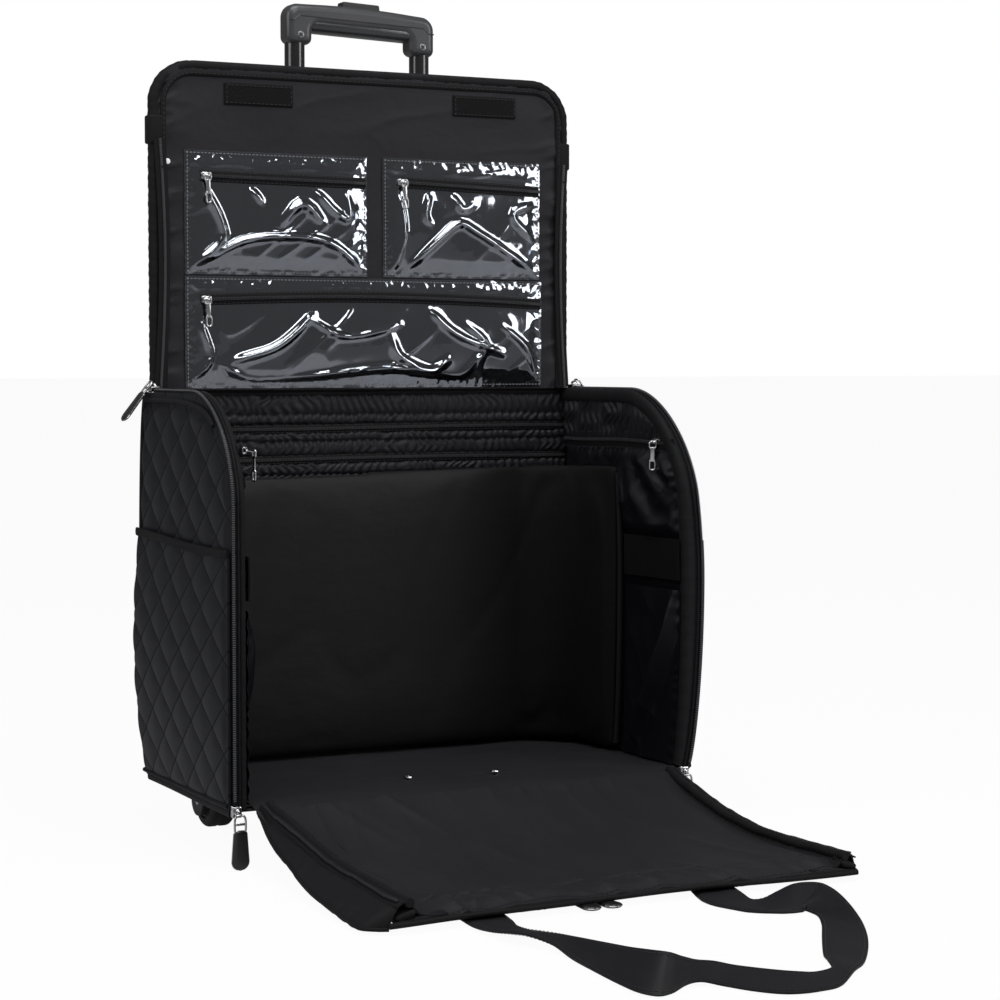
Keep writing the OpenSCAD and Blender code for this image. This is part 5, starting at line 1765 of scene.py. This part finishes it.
# The sliders at the low ends of the chains hang a little below and left of their node
frontShift = {-1: np.array([-5.5, 1.0, -4.5]), 1: np.array([-2.0, 0.0, -4.0])}
caseSliders = {"top": {"out": (0, 0, 1), "along": (0, 1, 0), "size": (12.5, 9.5, 8.0)},
               "front": {"out": (0, -1, 0), "along": (0, 0, 1), "size": (9.5, 9.0, 7.0)}}
topPull = {"x": 221.5, "z": 409.0, "across": 27.5, "down": 35.5, "long": 45.0}
# How the small pulls of the side pockets hang: the left one further forward and on a longer link
sideHang = {-1: {"shift": -29.0, "away": 10.0, "link": 10.5, "face": (1, 0.1, 0)},
            1: {"shift": 0.0, "away": 3.4, "link": 4.4, "face": (-0.5, -0.85, 0)}}


def nodeMiddle(node):
    low, high = bagBox(node)
    return (low + high) / 2


def makeSideSlider(side, body):
    hang, z, part = sideHang[side], inside["zip"], sideName(side)
    y = nodeMiddle(body)[1] + hang["shift"]
    x = liningX(side, y, z, 4.2)
    makeSlider("sideSlider" + part, (x, y, z), (0, 1, 0), (-side, 0, 0), (8.5, 6.5, 5.0), body, [body])
    makeSmallPull("sidePull" + part, (x - side * hang["away"], y - 0.5, z - 1), (0.02, 0.06, -1),
                  hang["face"], body)
    bar("sideLink" + part, (x - side * 1.5, y, z), (x - side * hang["link"], y - 0.5, z - 1.5),
        (0, 0, 1), 1.6, 1.2, screwHead, body, 0.7, slot="nickel")


def makeCaseSliders():
    for side in (-1, 1):
        name, part = nodeSide(side), sideName(side)
        for kind, made in caseSliders.items():
            body = f"{kind}_slider_{name}"
            centre = nodeMiddle(body) + (frontShift[side] if kind == "front" else 0)
            makeSlider(f"{kind}Slider{part}", centre, made["along"], made["out"], made["size"], body,
                       [body])
        body = "top_pull_" + name
        x, z, across, down = topPull["x"], topPull["z"], topPull["across"], topPull["down"]
        makePull("topPull" + part, (side * x, nodeMiddle(body)[1], z), (side * across, 0, -down),
                 (side * down, 0, across), body, [body], topPull["long"])
        body = "front_pull_" + name
        middle, (low, high) = nodeMiddle(body), bagBox(body)
        makePull("frontPull" + part, np.array([*middle[:2], high[2]]) + frontShift[side], (0, 0, -1),
                 (0, -1, 0), body, [body], high[2] - low[2])
        makeSideSlider(side, "side_slider_" + name)


def makePocketSliders():
    for name, node in (("Lower", "pocket_slider_low"), ("Left", "pocket_slider_left"),
                       ("Right", "pocket_slider_right")):
        x = nodeMiddle(node)[0]
        s = float(zipS(pockets[name], x))
        spot = np.array([x]), np.array([s])
        at = lidPoint(x, s, float((lidWaves(*spot) * 0.6 + vinylLift(pockets[name], *spot))[0]) + 3.4)
        makeSlider("pocketSlider" + name, at, (1, 0, 0), (0, -1, 0), (9.0, 6.5, 4.6), node, [node])
        makeSmallPull("pocketPull" + name, at + [0.5, -2.6, 0.5], (0.05, 0, -1), (0, -1, 0), node)
    for k, (x, turn) in enumerate(((-39.0, -3), (-25.0, 3))):
        head, tip = panelPoint(x, 238.0, -6.6), panelPoint(x + turn, 287.0, -4.5)
        makePull(f"pocketLarge{k}", head, tip - head, (0, -0.1, 1), "pocket_pulls", ["front_zip_pulls"],
                 float(np.linalg.norm(tip - head)))


makeCaseSliders()
makePocketSliders()
print("sliders and pulls made")


# Wheels and plain parts

# A closed section of (along x, radius) pairs, turned round an axle that runs along x
def lathe(name, centre, profile, material, body, count=72, **more):
    a = np.linspace(0, 2 * np.pi, count, endpoint=False)
    profile = np.asarray(profile, float)
    x = centre[0] + np.broadcast_to(profile[None, :, 0], (count, len(profile)))
    y = centre[1] + profile[None, :, 1] * np.cos(a)[:, None]
    z = centre[2] + profile[None, :, 1] * np.sin(a)[:, None]
    return addPiece(name, pointsAt(x, y, z).reshape(-1, 3), gridFaces(count, len(profile), True, True),
                    material, body, **more)


def makeWheel(side):
    part, name = sideName(side), nodeSide(side)
    low, high = bagBox("tyre_" + name)
    centre = nodeMiddle("tyre_" + name)
    r, half = (high[2] - low[2]) / 2, (high[0] - low[0]) / 2
    turn = np.linspace(0, np.pi / 2, 7)
    edge = 5.0
    left = [(-half + edge - edge * math.sin(t), r - edge + edge * math.cos(t)) for t in turn]
    right = [(half - edge + edge * math.sin(t), r - edge + edge * math.cos(t)) for t in turn[::-1]]
    tread = [*right, (2.2, r), (1.6, r - 0.9), (-1.6, r - 0.9), (-2.2, r), *left]
    inner = [(-half, 17.0), (-half + 1.4, 16.2), (-half + 1.4, 14.6), (half - 1.4, 14.6),
             (half - 1.4, 16.2), (half, 17.0)]
    lathe("tyre" + part, centre, (tread + inner)[::-1], rubber, "wheel_" + name, nodes=["tyre_" + name])
    x = centre[0] - half - 0.4
    cap = [(0, 0.2), (0, 3.0), (-0.5, 4.0), (-1.4, 4.4), (-1.4, 0.2)]
    lathe("hubCap" + part, (x, *centre[1:]), cap[::-1], moulded, "wheel_" + name, 40)
    hub = [(-half + 0.5, 14.9), (-half + 0.2, 14.0), (-half + 2.4, 12.6), (-half + 2.4, 8.0),
           (-half - 0.5, 6.6), (-half - 0.5, 4.3), (half + 0.5, 4.3), (half + 0.5, 6.6),
           (half - 2.4, 8.0), (half - 2.4, 12.6), (half - 0.2, 14.0), (half - 0.5, 14.9)]
    lathe("hub" + part, centre, hub, moulded, "wheel_" + name, nodes=["hub_" + name])


for side in (-1, 1):
    makeWheel(side)

plainParts = {tubeBlack: ["outer_tubes", "middle_tubes", "inner_tubes"],
              moulded: ["tube_bracket", "handle_bezel", "wheel_housings", "front_feet"],
              steel: ["wheel_axles", "push_rods", "button_spring"], nickel: ["floor_rivets"]}
for material, nodes in plainParts.items():
    for node in nodes:
        bpy.data.objects[node].material_slots[0].material = material
print("wheels made, plain parts finished")
